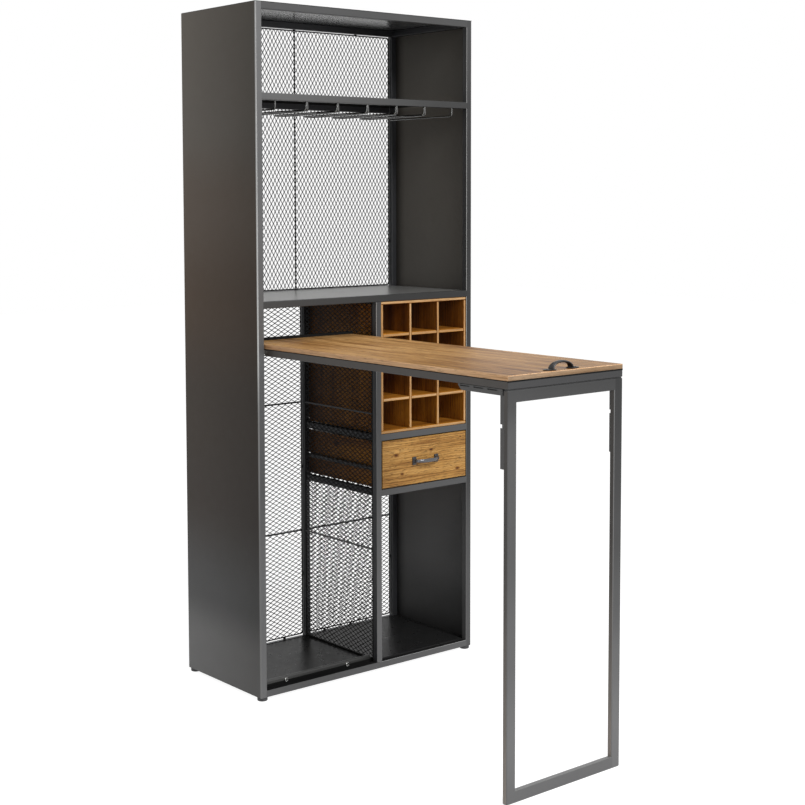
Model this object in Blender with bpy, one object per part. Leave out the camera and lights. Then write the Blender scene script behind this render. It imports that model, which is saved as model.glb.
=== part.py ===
"""Bar shelving unit: a welded steel cabinet with a bottle rack, a drawer and a fold-down table.

Metres, +Z up. The origin lies on the floor in the middle of the whole footprint, table included.
X runs across the cabinet, left to right as seen from the front, and the table reaches out along -Y.
"""
import math

import bmesh
import bpy
from mathutils import Matrix, Vector

# Cabinet
WIDTH = 0.823
DEPTH = 0.386
HEIGHT = 2.000
TUBE = 0.020
TUBE_EDGE = 0.0018
SHEET = 0.0012
SHELF_SHEET = 0.0020
FOOT_HEIGHT = 0.010
FOOT_RADIUS = 0.015
FOOT_ROUNDING = 0.0024
GAP = 0.0003
CUT_OVERRUN = 0.002

# Levels of the horizontal members, from upper face to upper face
TABLE_HEIGHT = 1.0335
UPPER_SHELF_BELOW_TOP = 0.254
MID_SHELF_OVER_TABLE = 0.1225
RACK_RAIL_BELOW_MID_SHELF = 0.424
DRAWER_RAIL_BELOW_RACK_RAIL = 0.170

# Divider between the open bay and the drawer column, from the cabinet's left side to its left face
DIVIDER_X = 0.433
UPPER_SHELF_BACK_GAP = 0.012
FLOOR_LIP_SETBACK = 0.034
FLOOR_RIDGE_RISE = 0.014
FLOOR_RIDGE_WIDTH = 0.012
FLANGE_DROP = 0.032
BUMPER_RADIUS = 0.006
BUMPER_LENGTH = 0.004
BUMPER_NOSE = 0.6
BUMPER_SPREAD = 0.229
BUMPER_DROP = 0.010

# Expanded metal panels with border and brace wires
NET_THICKNESS = 0.003
NET_BORDER = 0.006
NET_STRAND = 0.0045
NET_INSET = 0.006
NET_UPRIGHT_PITCH = (0.092, 0.128)
NET_LYING_PITCH = (0.138, 0.072)
BRACE_HEIGHTS = (0.3775, 0.795)

# Hanging rail for stemware
WIRE_RADIUS = 0.0025
WIRE_COUNT = 7
WIRE_SIDE = 0.074
WIRE_DROP = 0.025
WIRE_SETBACK = 0.012
WIRE_REACH = 0.302
WIRE_TWIN = 0.007
WIRE_SPREAD = 0.046
WIRE_TAPER = 0.070
WIRE_BEND = 0.010
WIRE_TAPER_BEND = 0.020

# Bottle rack
RACK_COLUMNS = 3
RACK_ROWS = 4
RACK_BOARD = 0.009
RACK_DEPTH = 0.366
RACK_SETBACK = 0.003
RACK_SLIP = 0.0004

# Drawer
FRONT_BOARD = 0.018
FRONT_REVEAL = 0.003
DRAWER_DEPTH = 0.352
DRAWER_WALL = 0.012
DRAWER_BACK = 0.012
DRAWER_BOTTOM = 0.005
DRAWER_RISE = 0.002
DRAWER_HEADROOM = 0.005
DRAWER_GROOVE = 0.005
RUNNER_HEIGHT = 0.010
RUNNER_LEVEL = 0.0615
RUNNER_BITE = 0.004
RUNNER_ROOT = 0.012
SLIDE_CLEARANCE = 0.0006
PULL_WIDTH = 0.106
PULL_STANDOFF = 0.026
PULL_BAR = (0.0035, 0.0050)
PULL_BASE = (0.016, 0.004, 0.025)
PULL_RAKE = 0.004
PULL_BEND = 0.014
WOOD_EDGE = 0.001

# Table leaf
REACH = 0.981
LEAF_BACK = 0.120
LEAF_SIDE_GAP = 0.0055
LEAF_BOARD = 0.0125
LEAF_TUBE = 0.020
PIN_RADIUS = 0.004
PIN_BITE = 0.013
WASHER_RADIUS = 0.0085
PIN_SETBACK = 0.010
GRIP_WIDTH = 0.116
GRIP_SPAN = 0.068
GRIP_RISE = 0.0195
GRIP_BAR = (0.0027, 0.0080)
GRIP_FOOT = (0.028, 0.022, 0.0025)
GRIP_SETBACK = 0.021
GRIP_CROWN = 0.60
GRIP_BEND = 0.018

# Leg frame and its two folding brackets
LEG_FACE = 0.030
LEG_TUBE = 0.015
LEG_FOOT_BAR = 0.022
LEG_TOP_GAP = 0.002
ARM_SHEET = 0.0020
ARM_WIDTH = 0.020
ARM_HEIGHT = 0.015
ARM_LENGTH = 0.155
ARM_SLOTS = 3
ARM_SLOT = (0.034, 0.003)
ARM_CHAMFER = 0.012
STRUT_SHEET = 0.0015
STRUT_PLAY = 0.0005
STRUT_LENGTH = 0.186
STRUT_LIP = 0.0045
STRUT_NOTCH = (0.079, 0.009)
HINGE_DROP = 0.0095
HINGE_BACK = 0.0085
ARM_NOSE = 0.0055
RIVET_RADIUS = 0.0022

# Planes that follow from the sizes above
LEFT = -WIDTH / 2
RIGHT = WIDTH / 2
FRONT = (REACH - DEPTH) / 2
BACK = FRONT + DEPTH
LEAF_END = FRONT - REACH
FRAME_LEFT = LEFT + SHEET + GAP
FRAME_RIGHT = RIGHT - SHEET - GAP
FRAME_TOP = HEIGHT - SHEET - GAP
UPPER_SHELF_TOP = HEIGHT - UPPER_SHELF_BELOW_TOP
MID_SHELF_TOP = TABLE_HEIGHT + MID_SHELF_OVER_TABLE
RACK_RAIL_TOP = MID_SHELF_TOP - RACK_RAIL_BELOW_MID_SHELF
DRAWER_RAIL_TOP = RACK_RAIL_TOP - DRAWER_RAIL_BELOW_RACK_RAIL
INNER_LEFT = FRAME_LEFT + TUBE
INNER_RIGHT = FRAME_RIGHT - TUBE
BOTTOM_RAIL_TOP = FOOT_HEIGHT + TUBE
FLOOR_TOP = BOTTOM_RAIL_TOP + SHELF_SHEET
FLOOR_RIDGE_TOP = FLOOR_TOP + FLOOR_RIDGE_RISE
MID_SHELF_UNDER = MID_SHELF_TOP - TUBE
UPPER_SHELF_UNDER = UPPER_SHELF_TOP - TUBE
REAR_FACE = BACK - TUBE
DIVIDER_LEFT = LEFT + DIVIDER_X
DIVIDER_RIGHT = DIVIDER_LEFT + TUBE
NET_BACK = BACK - NET_INSET
NET_FRONT = NET_BACK - NET_THICKNESS
LEAF_LEFT = INNER_LEFT + LEAF_SIDE_GAP
LEAF_RIGHT = DIVIDER_LEFT - LEAF_SIDE_GAP
LEAF_FRAME_TOP = TABLE_HEIGHT - LEAF_BOARD - GAP
LEAF_UNDER = LEAF_FRAME_TOP - LEAF_TUBE
PIN_Y = FRONT + PIN_SETBACK
PIN_Z = LEAF_UNDER + LEAF_TUBE / 2
LEG_TOP = LEAF_UNDER - LEG_TOP_GAP
LEG_BACK = LEAF_END + LEG_TUBE
HINGE_Y = LEG_BACK + HINGE_BACK
HINGE_Z = LEAF_UNDER - HINGE_DROP
RUNNER_Z = DRAWER_RAIL_TOP + RUNNER_LEVEL
WIRE_PITCH = (WIDTH - 2 * WIRE_SIDE) / (WIRE_COUNT - 1)

GRAPHITE = ((0.115, 0.117, 0.121), 0.42, 0.55)
DARK_STEEL = ((0.060, 0.061, 0.064), 0.45, 0.60)
BRIGHT_STEEL = ((0.420, 0.420, 0.410), 0.32, 0.90)
OAK = ((0.560, 0.345, 0.165), 0.55, 0.0)
PALE_OAK = ((0.600, 0.420, 0.250), 0.50, 0.0)
RUBBER = ((0.030, 0.030, 0.030), 0.70, 0.0)

for leftover in list(bpy.data.objects):
    bpy.data.objects.remove(leftover, do_unlink=True)


def pivot(name, location, parent=None):
    """An empty on a joint's axis, which carries the pieces that move together."""
    empty = bpy.data.objects.new(name, None)
    empty.empty_display_size = 0.05
    bpy.context.scene.collection.objects.link(empty)
    empty.location = Vector(location)
    if parent:
        empty.parent = parent
        empty.location = Vector(location) - world_origin(parent)
    return empty


def world_origin(thing):
    """World position of a chain of parents that are only moved, never turned."""
    place = Vector(thing.location)
    while thing.parent:
        thing = thing.parent
        place += thing.location
    return place


def place(name, mesh, look, parent=None, bevel=0.0, smooth=False):
    """Turns a bmesh in world coordinates into a named object with its own material."""
    bmesh.ops.recalc_face_normals(mesh, faces=mesh.faces)
    low = Vector(min(v.co[k] for v in mesh.verts) for k in range(3))
    high = Vector(max(v.co[k] for v in mesh.verts) for k in range(3))
    origin = world_origin(parent) if parent else (low + high) / 2
    bmesh.ops.translate(mesh, verts=mesh.verts, vec=-origin)
    data = bpy.data.meshes.new(name)
    mesh.to_mesh(data)
    mesh.free()
    thing = bpy.data.objects.new(name, data)
    bpy.context.scene.collection.objects.link(thing)
    if parent:
        thing.parent = parent
    else:
        thing.location = origin
    colour, roughness, metallic = look
    material = bpy.data.materials.new(name)
    material.use_nodes = True
    shader = material.node_tree.nodes["Principled BSDF"]
    shader.inputs["Base Color"].default_value = (*colour, 1.0)
    shader.inputs["Roughness"].default_value = roughness
    shader.inputs["Metallic"].default_value = metallic
    data.materials.append(material)
    if bevel:
        rounding = thing.modifiers.new("rounding", "BEVEL")
        rounding.width = bevel
        rounding.segments = 1
        rounding.limit_method = "ANGLE"
        rounding.angle_limit = math.radians(50)
    if smooth:
        data.shade_smooth()
        data.set_sharp_from_angle(angle=math.radians(40))
    return thing


def combine(thing, mesh, operation, label):
    """Cuts a shape out of an object, or welds one on, with a hidden guide in world coordinates."""
    bmesh.ops.recalc_face_normals(mesh, faces=mesh.faces)
    bmesh.ops.translate(mesh, verts=mesh.verts, vec=-world_origin(thing))
    data = bpy.data.meshes.new(label)
    mesh.to_mesh(data)
    mesh.free()
    guide = bpy.data.objects.new(thing.name + "_" + label, data)
    bpy.context.scene.collection.objects.link(guide)
    guide.parent = thing
    guide.hide_render = True
    guide.display_type = "WIRE"
    step = thing.modifiers.new(label, "BOOLEAN")
    step.operation = operation
    step.solver = "EXACT"
    step.object = guide


def box(low, high):
    """A rectangular block between two corners."""
    mesh = bmesh.new()
    bmesh.ops.create_cube(mesh, size=1.0)
    low = Vector(low)
    high = Vector(high)
    for corner in mesh.verts:
        for k in range(3):
            corner.co[k] = low[k] if corner.co[k] < 0 else high[k]
    return mesh


def prism(outline, axis, start, end):
    """An outline in the two other axes, in X, Y, Z order, pushed along an axis."""
    mesh = bmesh.new()
    rings = []
    for level in (start, end):
        ring = []
        for p, q in outline:
            point = [p, q]
            point.insert("xyz".index(axis), level)
            ring.append(mesh.verts.new(point))
        rings.append(ring)
    count = len(outline)
    mesh.faces.new(rings[0])
    mesh.faces.new(rings[1])
    for k in range(count):
        n = (k + 1) % count
        mesh.faces.new((rings[0][k], rings[0][n], rings[1][n], rings[1][k]))
    return mesh


def turned(profile, centre, axis, sides=16):
    """A turned solid from (radius, distance along the axis) pairs, closed by flat ends."""
    mesh = bmesh.new()
    turn = Vector((0, 0, 1)).rotation_difference(Vector(axis)).to_matrix()
    rings = []
    for radius, along in profile:
        ring = []
        for k in range(sides):
            angle = 2 * math.pi * k / sides
            local = Vector((radius * math.cos(angle), radius * math.sin(angle), along))
            ring.append(mesh.verts.new(Vector(centre) + turn @ local))
        rings.append(ring)
    mesh.faces.new(rings[0])
    mesh.faces.new(rings[-1])
    for lower, upper in zip(rings, rings[1:]):
        for k in range(sides):
            n = (k + 1) % sides
            mesh.faces.new((lower[k], lower[n], upper[n], upper[k]))
    return mesh


def rounded(corners, radii, steps=3):
    """Points along a bent wire: straight runs with an arc of the given radius at each inner corner."""
    points = [Vector(corners[0])]
    for before, corner, after, radius in zip(corners, corners[1:], corners[2:], radii):
        corner = Vector(corner)
        back = (Vector(before) - corner).normalized()
        ahead = (Vector(after) - corner).normalized()
        half = back.angle(ahead) / 2
        start = corner + back * (radius / math.tan(half))
        middle = corner + (back + ahead).normalized() * (radius / math.sin(half))
        arm = start - middle
        spin = back.cross(ahead).normalized()
        sweep = math.pi - 2 * half
        for k in range(steps + 1):
            points.append(middle + Matrix.Rotation(-sweep * k / steps, 3, spin) @ arm)
    points.append(Vector(corners[-1]))
    return points


def wire(points, radii, up, sides=6):
    """A bar of round or oval section along a path; up is one axis of the section at the start."""
    mesh = bmesh.new()
    up = Vector(up)
    rings = []
    heading = None
    for k, point in enumerate(points):
        ahead = points[min(k + 1, len(points) - 1)] - point
        behind = point - points[max(k - 1, 0)]
        direction = (ahead.normalized() + behind.normalized()).normalized()
        if heading is not None:
            up = heading.rotation_difference(direction) @ up
        heading = direction
        side = direction.cross(up).normalized()
        up = side.cross(direction).normalized()
        ring = []
        for s in range(sides):
            angle = 2 * math.pi * (s + 0.5) / sides
            offset = side * (radii[0] * math.cos(angle)) + up * (radii[1] * math.sin(angle))
            ring.append(mesh.verts.new(point + offset))
        rings.append(ring)
    mesh.faces.new(rings[0])
    mesh.faces.new(rings[-1])
    for first, second in zip(rings, rings[1:]):
        for s in range(sides):
            n = (s + 1) % sides
            mesh.faces.new((first[s], first[n], second[n], second[s]))
    return mesh


class Plate:
    """A flat pattern of faces in (u, v), given a thickness along w and set in space by a function."""

    def __init__(self):
        self.points = []
        self.index = {}
        self.faces = []

    def corner(self, u, v):
        key = (round(u, 6), round(v, 6))
        if key not in self.index:
            self.index[key] = len(self.points)
            self.points.append((u, v))
        return self.index[key]

    def face(self, *corners):
        ids = [self.corner(u, v) for u, v in corners]
        area = 0.0
        for k, (u, v) in enumerate(corners):
            a, b = corners[(k + 1) % len(corners)]
            area += u * b - a * v
        self.faces.append(ids if area > 0 else ids[::-1])

    def fan(self, first, last, row):
        """Fills the strip between one straight edge, first to last, and a row of points beside it."""
        half = len(row) // 2
        for a, b in zip(row[:half + 1], row[1:half + 1]):
            self.face(first, a, b)
        self.face(first, row[half], last)
        for a, b in zip(row[half:], row[half + 1:]):
            self.face(last, a, b)

    def solid(self, low, high, to_space):
        """The pattern as a closed solid between two levels of w."""
        mesh = bmesh.new()
        sheets = []
        for w in (low, high):
            sheets.append([mesh.verts.new(to_space(u, v, w)) for u, v in self.points])
        edges = {}
        for ids in self.faces:
            mesh.faces.new([sheets[1][k] for k in ids])
            mesh.faces.new([sheets[0][k] for k in reversed(ids)])
            for a, b in zip(ids, ids[1:] + ids[:1]):
                edges[(a, b)] = edges.get((a, b), 0) + 1
        for a, b in edges:
            if (b, a) not in edges:
                mesh.faces.new((sheets[0][a], sheets[0][b], sheets[1][b], sheets[1][a]))
        return mesh


def ladder(u_range, v_range, stile, rungs):
    """Two upright tubes joined by rungs, each given as its lower and upper edge."""
    plate = Plate()
    u0, u1 = u_range
    levels = sorted({v_range[0], v_range[1], *[edge for rung in rungs for edge in rung]})
    for low, high in zip(levels, levels[1:]):
        plate.face((u0, low), (u0 + stile, low), (u0 + stile, high), (u0, high))
        plate.face((u1 - stile, low), (u1, low), (u1, high), (u1 - stile, high))
        if (low, high) in rungs:
            plate.face((u0 + stile, low), (u1 - stile, low), (u1 - stile, high), (u0 + stile, high))
    return plate


def lattice(u_range, v_range, braces, pitch):
    """Expanded metal with a border wire all round and brace wires across it at levels of v."""
    plate = Plate()
    u0, u1 = u_range[0] + NET_BORDER, u_range[1] - NET_BORDER
    edges = [v_range[0] + NET_BORDER]
    for brace in braces:
        edges += [brace - NET_BORDER / 2, brace + NET_BORDER / 2]
    edges.append(v_range[1] - NET_BORDER)
    bands = list(zip(edges[0::2], edges[1::2]))
    across = max(1, round((u1 - u0) / pitch[0]))
    step_u = (u1 - u0) / (2 * across)
    left_row = [(u0, v_range[0])]
    right_row = [(u1, v_range[0])]
    rows = []
    for v0, v1 in bands:
        up = max(1, round((v1 - v0) / pitch[1]))
        step_v = (v1 - v0) / (2 * up)
        length = math.hypot(step_u, step_v)
        du = NET_STRAND / 2 * length / step_v
        dv = NET_STRAND / 2 * length / step_u

        def node(i, j, side_u=0, side_v=0):
            return (u0 + i * step_u + side_u * du, v0 + j * step_v + side_v * dv)

        for j in range(2 * up + 1):
            for i in range(j % 2, 2 * across + 1, 2):
                corners = []
                for su, sv in ((1, 0), (0, 1), (-1, 0), (0, -1)):
                    inside_u = 0 <= i + su <= 2 * across
                    inside_v = 0 <= j + sv <= 2 * up
                    if inside_u and inside_v:
                        corners.append(node(i, j, su, sv))
                if len(corners) == 2:
                    corners.append(node(i, j))
                plate.face(*corners)
        for j in range(2 * up):
            for i in range(2 * across):
                if (i + j) % 2 == 0:
                    plate.face(node(i, j, 1, 0), node(i + 1, j + 1, 0, -1),
                               node(i + 1, j + 1, -1, 0), node(i, j, 0, 1))
                else:
                    plate.face(node(i + 1, j, 0, 1), node(i, j + 1, 1, 0),
                               node(i, j + 1, 0, -1), node(i + 1, j, -1, 0))
        for row, i in ((left_row, 0), (right_row, 2 * across)):
            for j in range(0, 2 * up + 1, 2):
                if j:
                    row.append(node(i, j, 0, -1))
                if j in (0, 2 * up):
                    row.append(node(i, j))
                if j < 2 * up:
                    row.append(node(i, j, 0, 1))
        for j in (0, 2 * up):
            row = []
            for i in range(0, 2 * across + 1, 2):
                if i:
                    row.append(node(i, j, -1, 0))
                if i in (0, 2 * across):
                    row.append(node(i, j))
                if i < 2 * across:
                    row.append(node(i, j, 1, 0))
            rows.append(row)
    left_row.append((u0, v_range[1]))
    right_row.append((u1, v_range[1]))
    plate.fan((u_range[0], v_range[0]), (u_range[0], v_range[1]), left_row)
    plate.fan((u_range[1], v_range[0]), (u_range[1], v_range[1]), right_row)
    plate.fan((u0, v_range[0]), (u1, v_range[0]), rows[0])
    plate.fan((u0, v_range[1]), (u1, v_range[1]), rows[-1])
    for lower, upper in zip(rows[1:-1:2], rows[2:-1:2]):
        for k in range(len(lower) - 1):
            plate.face(lower[k], lower[k + 1], upper[k + 1], upper[k])
    return plate


def comb(length, depth, slots, slot_width, slot_depth):
    """Outline of a lapped board: a rectangle with slots from its far edge, at distances along it."""
    outline = [(0, 0), (length, 0), (length, depth)]
    for centre in reversed(slots):
        outline.append((centre + slot_width / 2, depth))
        outline.append((centre + slot_width / 2, depth - slot_depth))
        outline.append((centre - slot_width / 2, depth - slot_depth))
        outline.append((centre - slot_width / 2, depth))
    outline.append((0, depth))
    return outline


def tray(low, high, wall):
    """A sheet folded down on all four sides, open underneath."""
    plate = box(low, high)
    inner = [Vector(low) + Vector((wall, wall, 0)), Vector(high) - Vector((wall, wall, wall))]
    floor = min(plate.faces, key=lambda face: face.calc_center_median().z)
    rim = list(floor.verts)
    bmesh.ops.delete(plate, geom=[floor], context="FACES_ONLY")
    foot = {}
    roof = {}
    for corner in rim:
        x = inner[0].x if corner.co.x < (low[0] + high[0]) / 2 else inner[1].x
        y = inner[0].y if corner.co.y < (low[1] + high[1]) / 2 else inner[1].y
        foot[corner] = plate.verts.new((x, y, low[2]))
        roof[corner] = plate.verts.new((x, y, inner[1].z))
    for k, corner in enumerate(rim):
        other = rim[(k + 1) % len(rim)]
        plate.faces.new((corner, other, foot[other], foot[corner]))
        plate.faces.new((foot[corner], foot[other], roof[other], roof[corner]))
    plate.faces.new([roof[corner] for corner in rim])
    return plate


def in_side_plane(u, v, w):
    """Depth, height and width as a point in space."""
    return (w, u, v)


def in_front_plane(u, v, w):
    """Width, height and depth as a point in space."""
    return (u, w, v)


def in_top_plane(u, v, w):
    """Width, depth and height as a point in space."""
    return (u, v, w)


def build_frame():
    """Side frames, divider, rails, shelves, floors, panels and feet."""
    span = (FRONT, BACK)
    rise = (FOOT_HEIGHT, FRAME_TOP)
    ends = [(FOOT_HEIGHT, BOTTOM_RAIL_TOP), (FRAME_TOP - TUBE, FRAME_TOP)]
    bearers = [(top - TUBE, top) for top in (DRAWER_RAIL_TOP, RACK_RAIL_TOP)]
    left = ladder(span, rise, TUBE, ends)
    place("side_frame_left", left.solid(FRAME_LEFT, INNER_LEFT, in_side_plane), GRAPHITE,
          bevel=TUBE_EDGE)
    right = ladder(span, rise, TUBE, ends + bearers)
    place("side_frame_right", right.solid(INNER_RIGHT, FRAME_RIGHT, in_side_plane), GRAPHITE,
          bevel=TUBE_EDGE)
    divider = ladder(span, (BOTTOM_RAIL_TOP + GAP, MID_SHELF_UNDER - GAP), TUBE, bearers)
    frame = place("divider_frame", divider.solid(DIVIDER_LEFT, DIVIDER_RIGHT, in_side_plane), GRAPHITE,
                  bevel=TUBE_EDGE)
    relief = box((DIVIDER_LEFT - TUBE, FRONT + TUBE, BOTTOM_RAIL_TOP),
                 (DIVIDER_LEFT + NET_THICKNESS + 2 * GAP, REAR_FACE, MID_SHELF_UNDER))
    combine(frame, relief, "DIFFERENCE", "net_relief")

    for name, x in (("side_panel_left", LEFT), ("side_panel_right", RIGHT - SHEET)):
        place(name, box((x, FRONT, FOOT_HEIGHT), (x + SHEET, BACK, FRAME_TOP)), GRAPHITE)
    place("top_panel", box((LEFT, FRONT, HEIGHT - SHEET), (RIGHT, BACK, HEIGHT)), GRAPHITE)

    wide = (INNER_LEFT + GAP, INNER_RIGHT - GAP)
    column = (DIVIDER_RIGHT + GAP, INNER_RIGHT - GAP)
    rails = (
        ("rail_top_front", wide, FRONT, FRAME_TOP),
        ("rail_top_rear", wide, REAR_FACE, FRAME_TOP),
        ("rail_bottom_front", wide, FRONT, BOTTOM_RAIL_TOP),
        ("rail_bottom_rear", wide, REAR_FACE, BOTTOM_RAIL_TOP),
        ("rail_rack_front", column, FRONT, RACK_RAIL_TOP),
        ("rail_drawer_front", column, FRONT, DRAWER_RAIL_TOP),
    )
    for name, (x0, x1), y, top in rails:
        place(name, box((x0, y, top - TUBE), (x1, y + TUBE, top)), GRAPHITE, bevel=TUBE_EDGE)

    for name, top, rear in (("shelf_upper", UPPER_SHELF_TOP, BACK - UPPER_SHELF_BACK_GAP),
                            ("shelf_mid", MID_SHELF_TOP, BACK)):
        skin = top - SHELF_SHEET
        under = top - TUBE
        section = [(FRONT, under), (FRONT + TUBE, under), (FRONT + TUBE, skin), (rear - TUBE, skin),
                   (rear - TUBE, under), (rear, under), (rear, top), (FRONT, top)]
        place(name, prism(section, "x", *wide), GRAPHITE, bevel=TUBE_EDGE / 2)

    floor_end = REAR_FACE - GAP
    ridge = FRONT + FLOOR_LIP_SETBACK
    fold = ridge + FLOOR_RIDGE_WIDTH
    hem = max(FOOT_HEIGHT, FLOOR_RIDGE_TOP - FLANGE_DROP)
    roof = FLOOR_RIDGE_TOP - SHELF_SHEET
    section = [(ridge, hem), (ridge + SHELF_SHEET, hem), (ridge + SHELF_SHEET, roof),
               (fold - SHELF_SHEET, roof), (fold - SHELF_SHEET, BOTTOM_RAIL_TOP), (floor_end, BOTTOM_RAIL_TOP),
               (floor_end, FLOOR_TOP), (fold, FLOOR_TOP), (fold, FLOOR_RIDGE_TOP), (ridge, FLOOR_RIDGE_TOP)]
    place("floor_left", prism(section, "x", wide[0], DIVIDER_LEFT - GAP), DARK_STEEL)
    low = (DIVIDER_LEFT, FRONT + TUBE + GAP, FOOT_HEIGHT)
    place("floor_right", tray(low, (wide[1], floor_end, FLOOR_TOP), SHELF_SHEET), DARK_STEEL)

    bay_middle = (INNER_LEFT + DIVIDER_LEFT) / 2
    lip = FRONT + FLOOR_LIP_SETBACK - GAP
    profile = [(BUMPER_RADIUS, 0), (BUMPER_RADIUS, BUMPER_LENGTH * BUMPER_NOSE),
               (BUMPER_RADIUS * BUMPER_NOSE, BUMPER_LENGTH)]
    for name, side in (("bumper_left", -0.5), ("bumper_right", 0.5)):
        centre = (bay_middle + side * BUMPER_SPREAD, lip, FLOOR_RIDGE_TOP - BUMPER_DROP)
        place(name, turned(profile, centre, (0, -1, 0), 12), BRIGHT_STEEL, smooth=True)

    profile = [(FOOT_RADIUS - FOOT_ROUNDING, 0), (FOOT_RADIUS, FOOT_ROUNDING),
               (FOOT_RADIUS, FOOT_HEIGHT - GAP)]
    for name, x, y in (("foot_front_left", LEFT + FOOT_RADIUS, FRONT + FOOT_RADIUS),
                       ("foot_front_right", RIGHT - FOOT_RADIUS, FRONT + FOOT_RADIUS),
                       ("foot_rear_left", LEFT + FOOT_RADIUS, BACK - FOOT_RADIUS),
                       ("foot_rear_right", RIGHT - FOOT_RADIUS, BACK - FOOT_RADIUS)):
        place(name, turned(profile, (x, y, 0), (0, 0, 1)), RUBBER, smooth=True)


def build_nets():
    """Expanded metal behind the shelves and bays, and in the divider."""
    def swapped(u, v, w):
        return (v, w, u)

    upper = lattice((MID_SHELF_TOP + GAP, FRAME_TOP - TUBE - GAP), (INNER_LEFT + GAP, INNER_RIGHT - GAP),
                    [(INNER_LEFT + INNER_RIGHT) / 2], NET_UPRIGHT_PITCH[::-1])
    place("net_back_upper", upper.solid(NET_FRONT, NET_BACK, swapped), DARK_STEEL)
    top = MID_SHELF_UNDER - GAP
    bays = (("net_back_left", INNER_LEFT + GAP, DIVIDER_LEFT - GAP),
            ("net_back_right", DIVIDER_RIGHT + GAP, INNER_RIGHT - GAP))
    for name, x0, x1 in bays:
        net = lattice((x0, x1), (BOTTOM_RAIL_TOP + GAP, top), BRACE_HEIGHTS, NET_LYING_PITCH)
        place(name, net.solid(NET_FRONT, NET_BACK, in_front_plane), DARK_STEEL)
    net = lattice((FRONT + TUBE + GAP, REAR_FACE - GAP), (FLOOR_TOP + GAP, top), BRACE_HEIGHTS,
                  NET_LYING_PITCH)
    place("net_divider", net.solid(DIVIDER_LEFT + GAP, DIVIDER_LEFT + GAP + NET_THICKNESS, in_side_plane),
          DARK_STEEL)


def build_stemware_rail():
    """Bent wires under the upper shelf: single ones at the ends, hairpins between."""
    top = UPPER_SHELF_UNDER - GAP
    level = UPPER_SHELF_UNDER - WIRE_DROP
    front = FRONT + WIRE_SETBACK
    rear = front + WIRE_REACH
    for k in range(WIRE_COUNT):
        x = WIRE_PITCH * (k - (WIRE_COUNT - 1) / 2)
        if k in (0, WIRE_COUNT - 1):
            corners = [(x, front, top), (x, front, level), (x, rear, level),
                       (x, rear, UPPER_SHELF_TOP - SHELF_SHEET - GAP)]
            radii = [WIRE_BEND, WIRE_BEND]
        else:
            near = WIRE_TWIN / 2
            far = WIRE_SPREAD / 2
            half = [(near, front, top), (near, front, level),
                    (far, front + WIRE_TAPER, level), (far, rear, level)]
            corners = [(x - a, b, c) for a, b, c in half]
            corners += [(x + a, b, c) for a, b, c in reversed(half)]
            turn = far - GAP
            radii = [WIRE_BEND, WIRE_TAPER_BEND, turn, turn, WIRE_TAPER_BEND, WIRE_BEND]
        mesh = wire(rounded(corners, radii), (WIRE_RADIUS, WIRE_RADIUS), (0, 1, 0))
        place("stem_wire_%d" % (k + 1), mesh, BRIGHT_STEEL, smooth=True)


def build_bottle_rack():
    """An open wooden rack whose shelves and uprights lap into each other."""
    x0 = DIVIDER_RIGHT + GAP
    x1 = INNER_RIGHT - GAP
    y0 = FRONT + RACK_SETBACK
    y1 = y0 + RACK_DEPTH
    z0 = RACK_RAIL_TOP + GAP
    z1 = MID_SHELF_UNDER - GAP
    t = RACK_BOARD
    place("rack_bottom", box((x0, y0, z0), (x1, y1, z0 + t)), OAK)
    place("rack_top", box((x0, y0, z1 - t), (x1, y1, z1)), OAK)
    low = z0 + t + GAP
    high = z1 - t - GAP
    place("rack_side_left", box((x0, y0, low), (x0 + t, y1, high)), OAK)
    place("rack_side_right", box((x1 - t, y0, low), (x1, y1, high)), OAK)
    inner0 = x0 + t + GAP
    inner1 = x1 - t - GAP
    cell_x = (inner1 - inner0 - (RACK_COLUMNS - 1) * t) / RACK_COLUMNS
    cell_z = (high - low - (RACK_ROWS - 1) * t) / RACK_ROWS
    posts = [(k + 1) * (cell_x + t) - t / 2 for k in range(RACK_COLUMNS - 1)]
    decks = [(k + 1) * (cell_z + t) - t / 2 for k in range(RACK_ROWS - 1)]
    slot = t + 2 * RACK_SLIP
    lap = RACK_DEPTH / 2 + RACK_SLIP
    for k, along in enumerate(posts):
        outline = comb(high - low, RACK_DEPTH, decks, slot, lap)
        shape = [(y0 + d, low + s) for s, d in outline]
        x = inner0 + along - t / 2
        place("rack_upright_%d" % (k + 1), prism(shape, "x", x, x + t), OAK)
    for k, along in enumerate(decks):
        outline = comb(inner1 - inner0, RACK_DEPTH, posts, slot, lap)
        shape = [(inner0 + s, y1 - d) for s, d in outline]
        z = low + along - t / 2
        place("rack_deck_%d" % (k + 1), prism(shape, "z", z, z + t), OAK)


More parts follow.
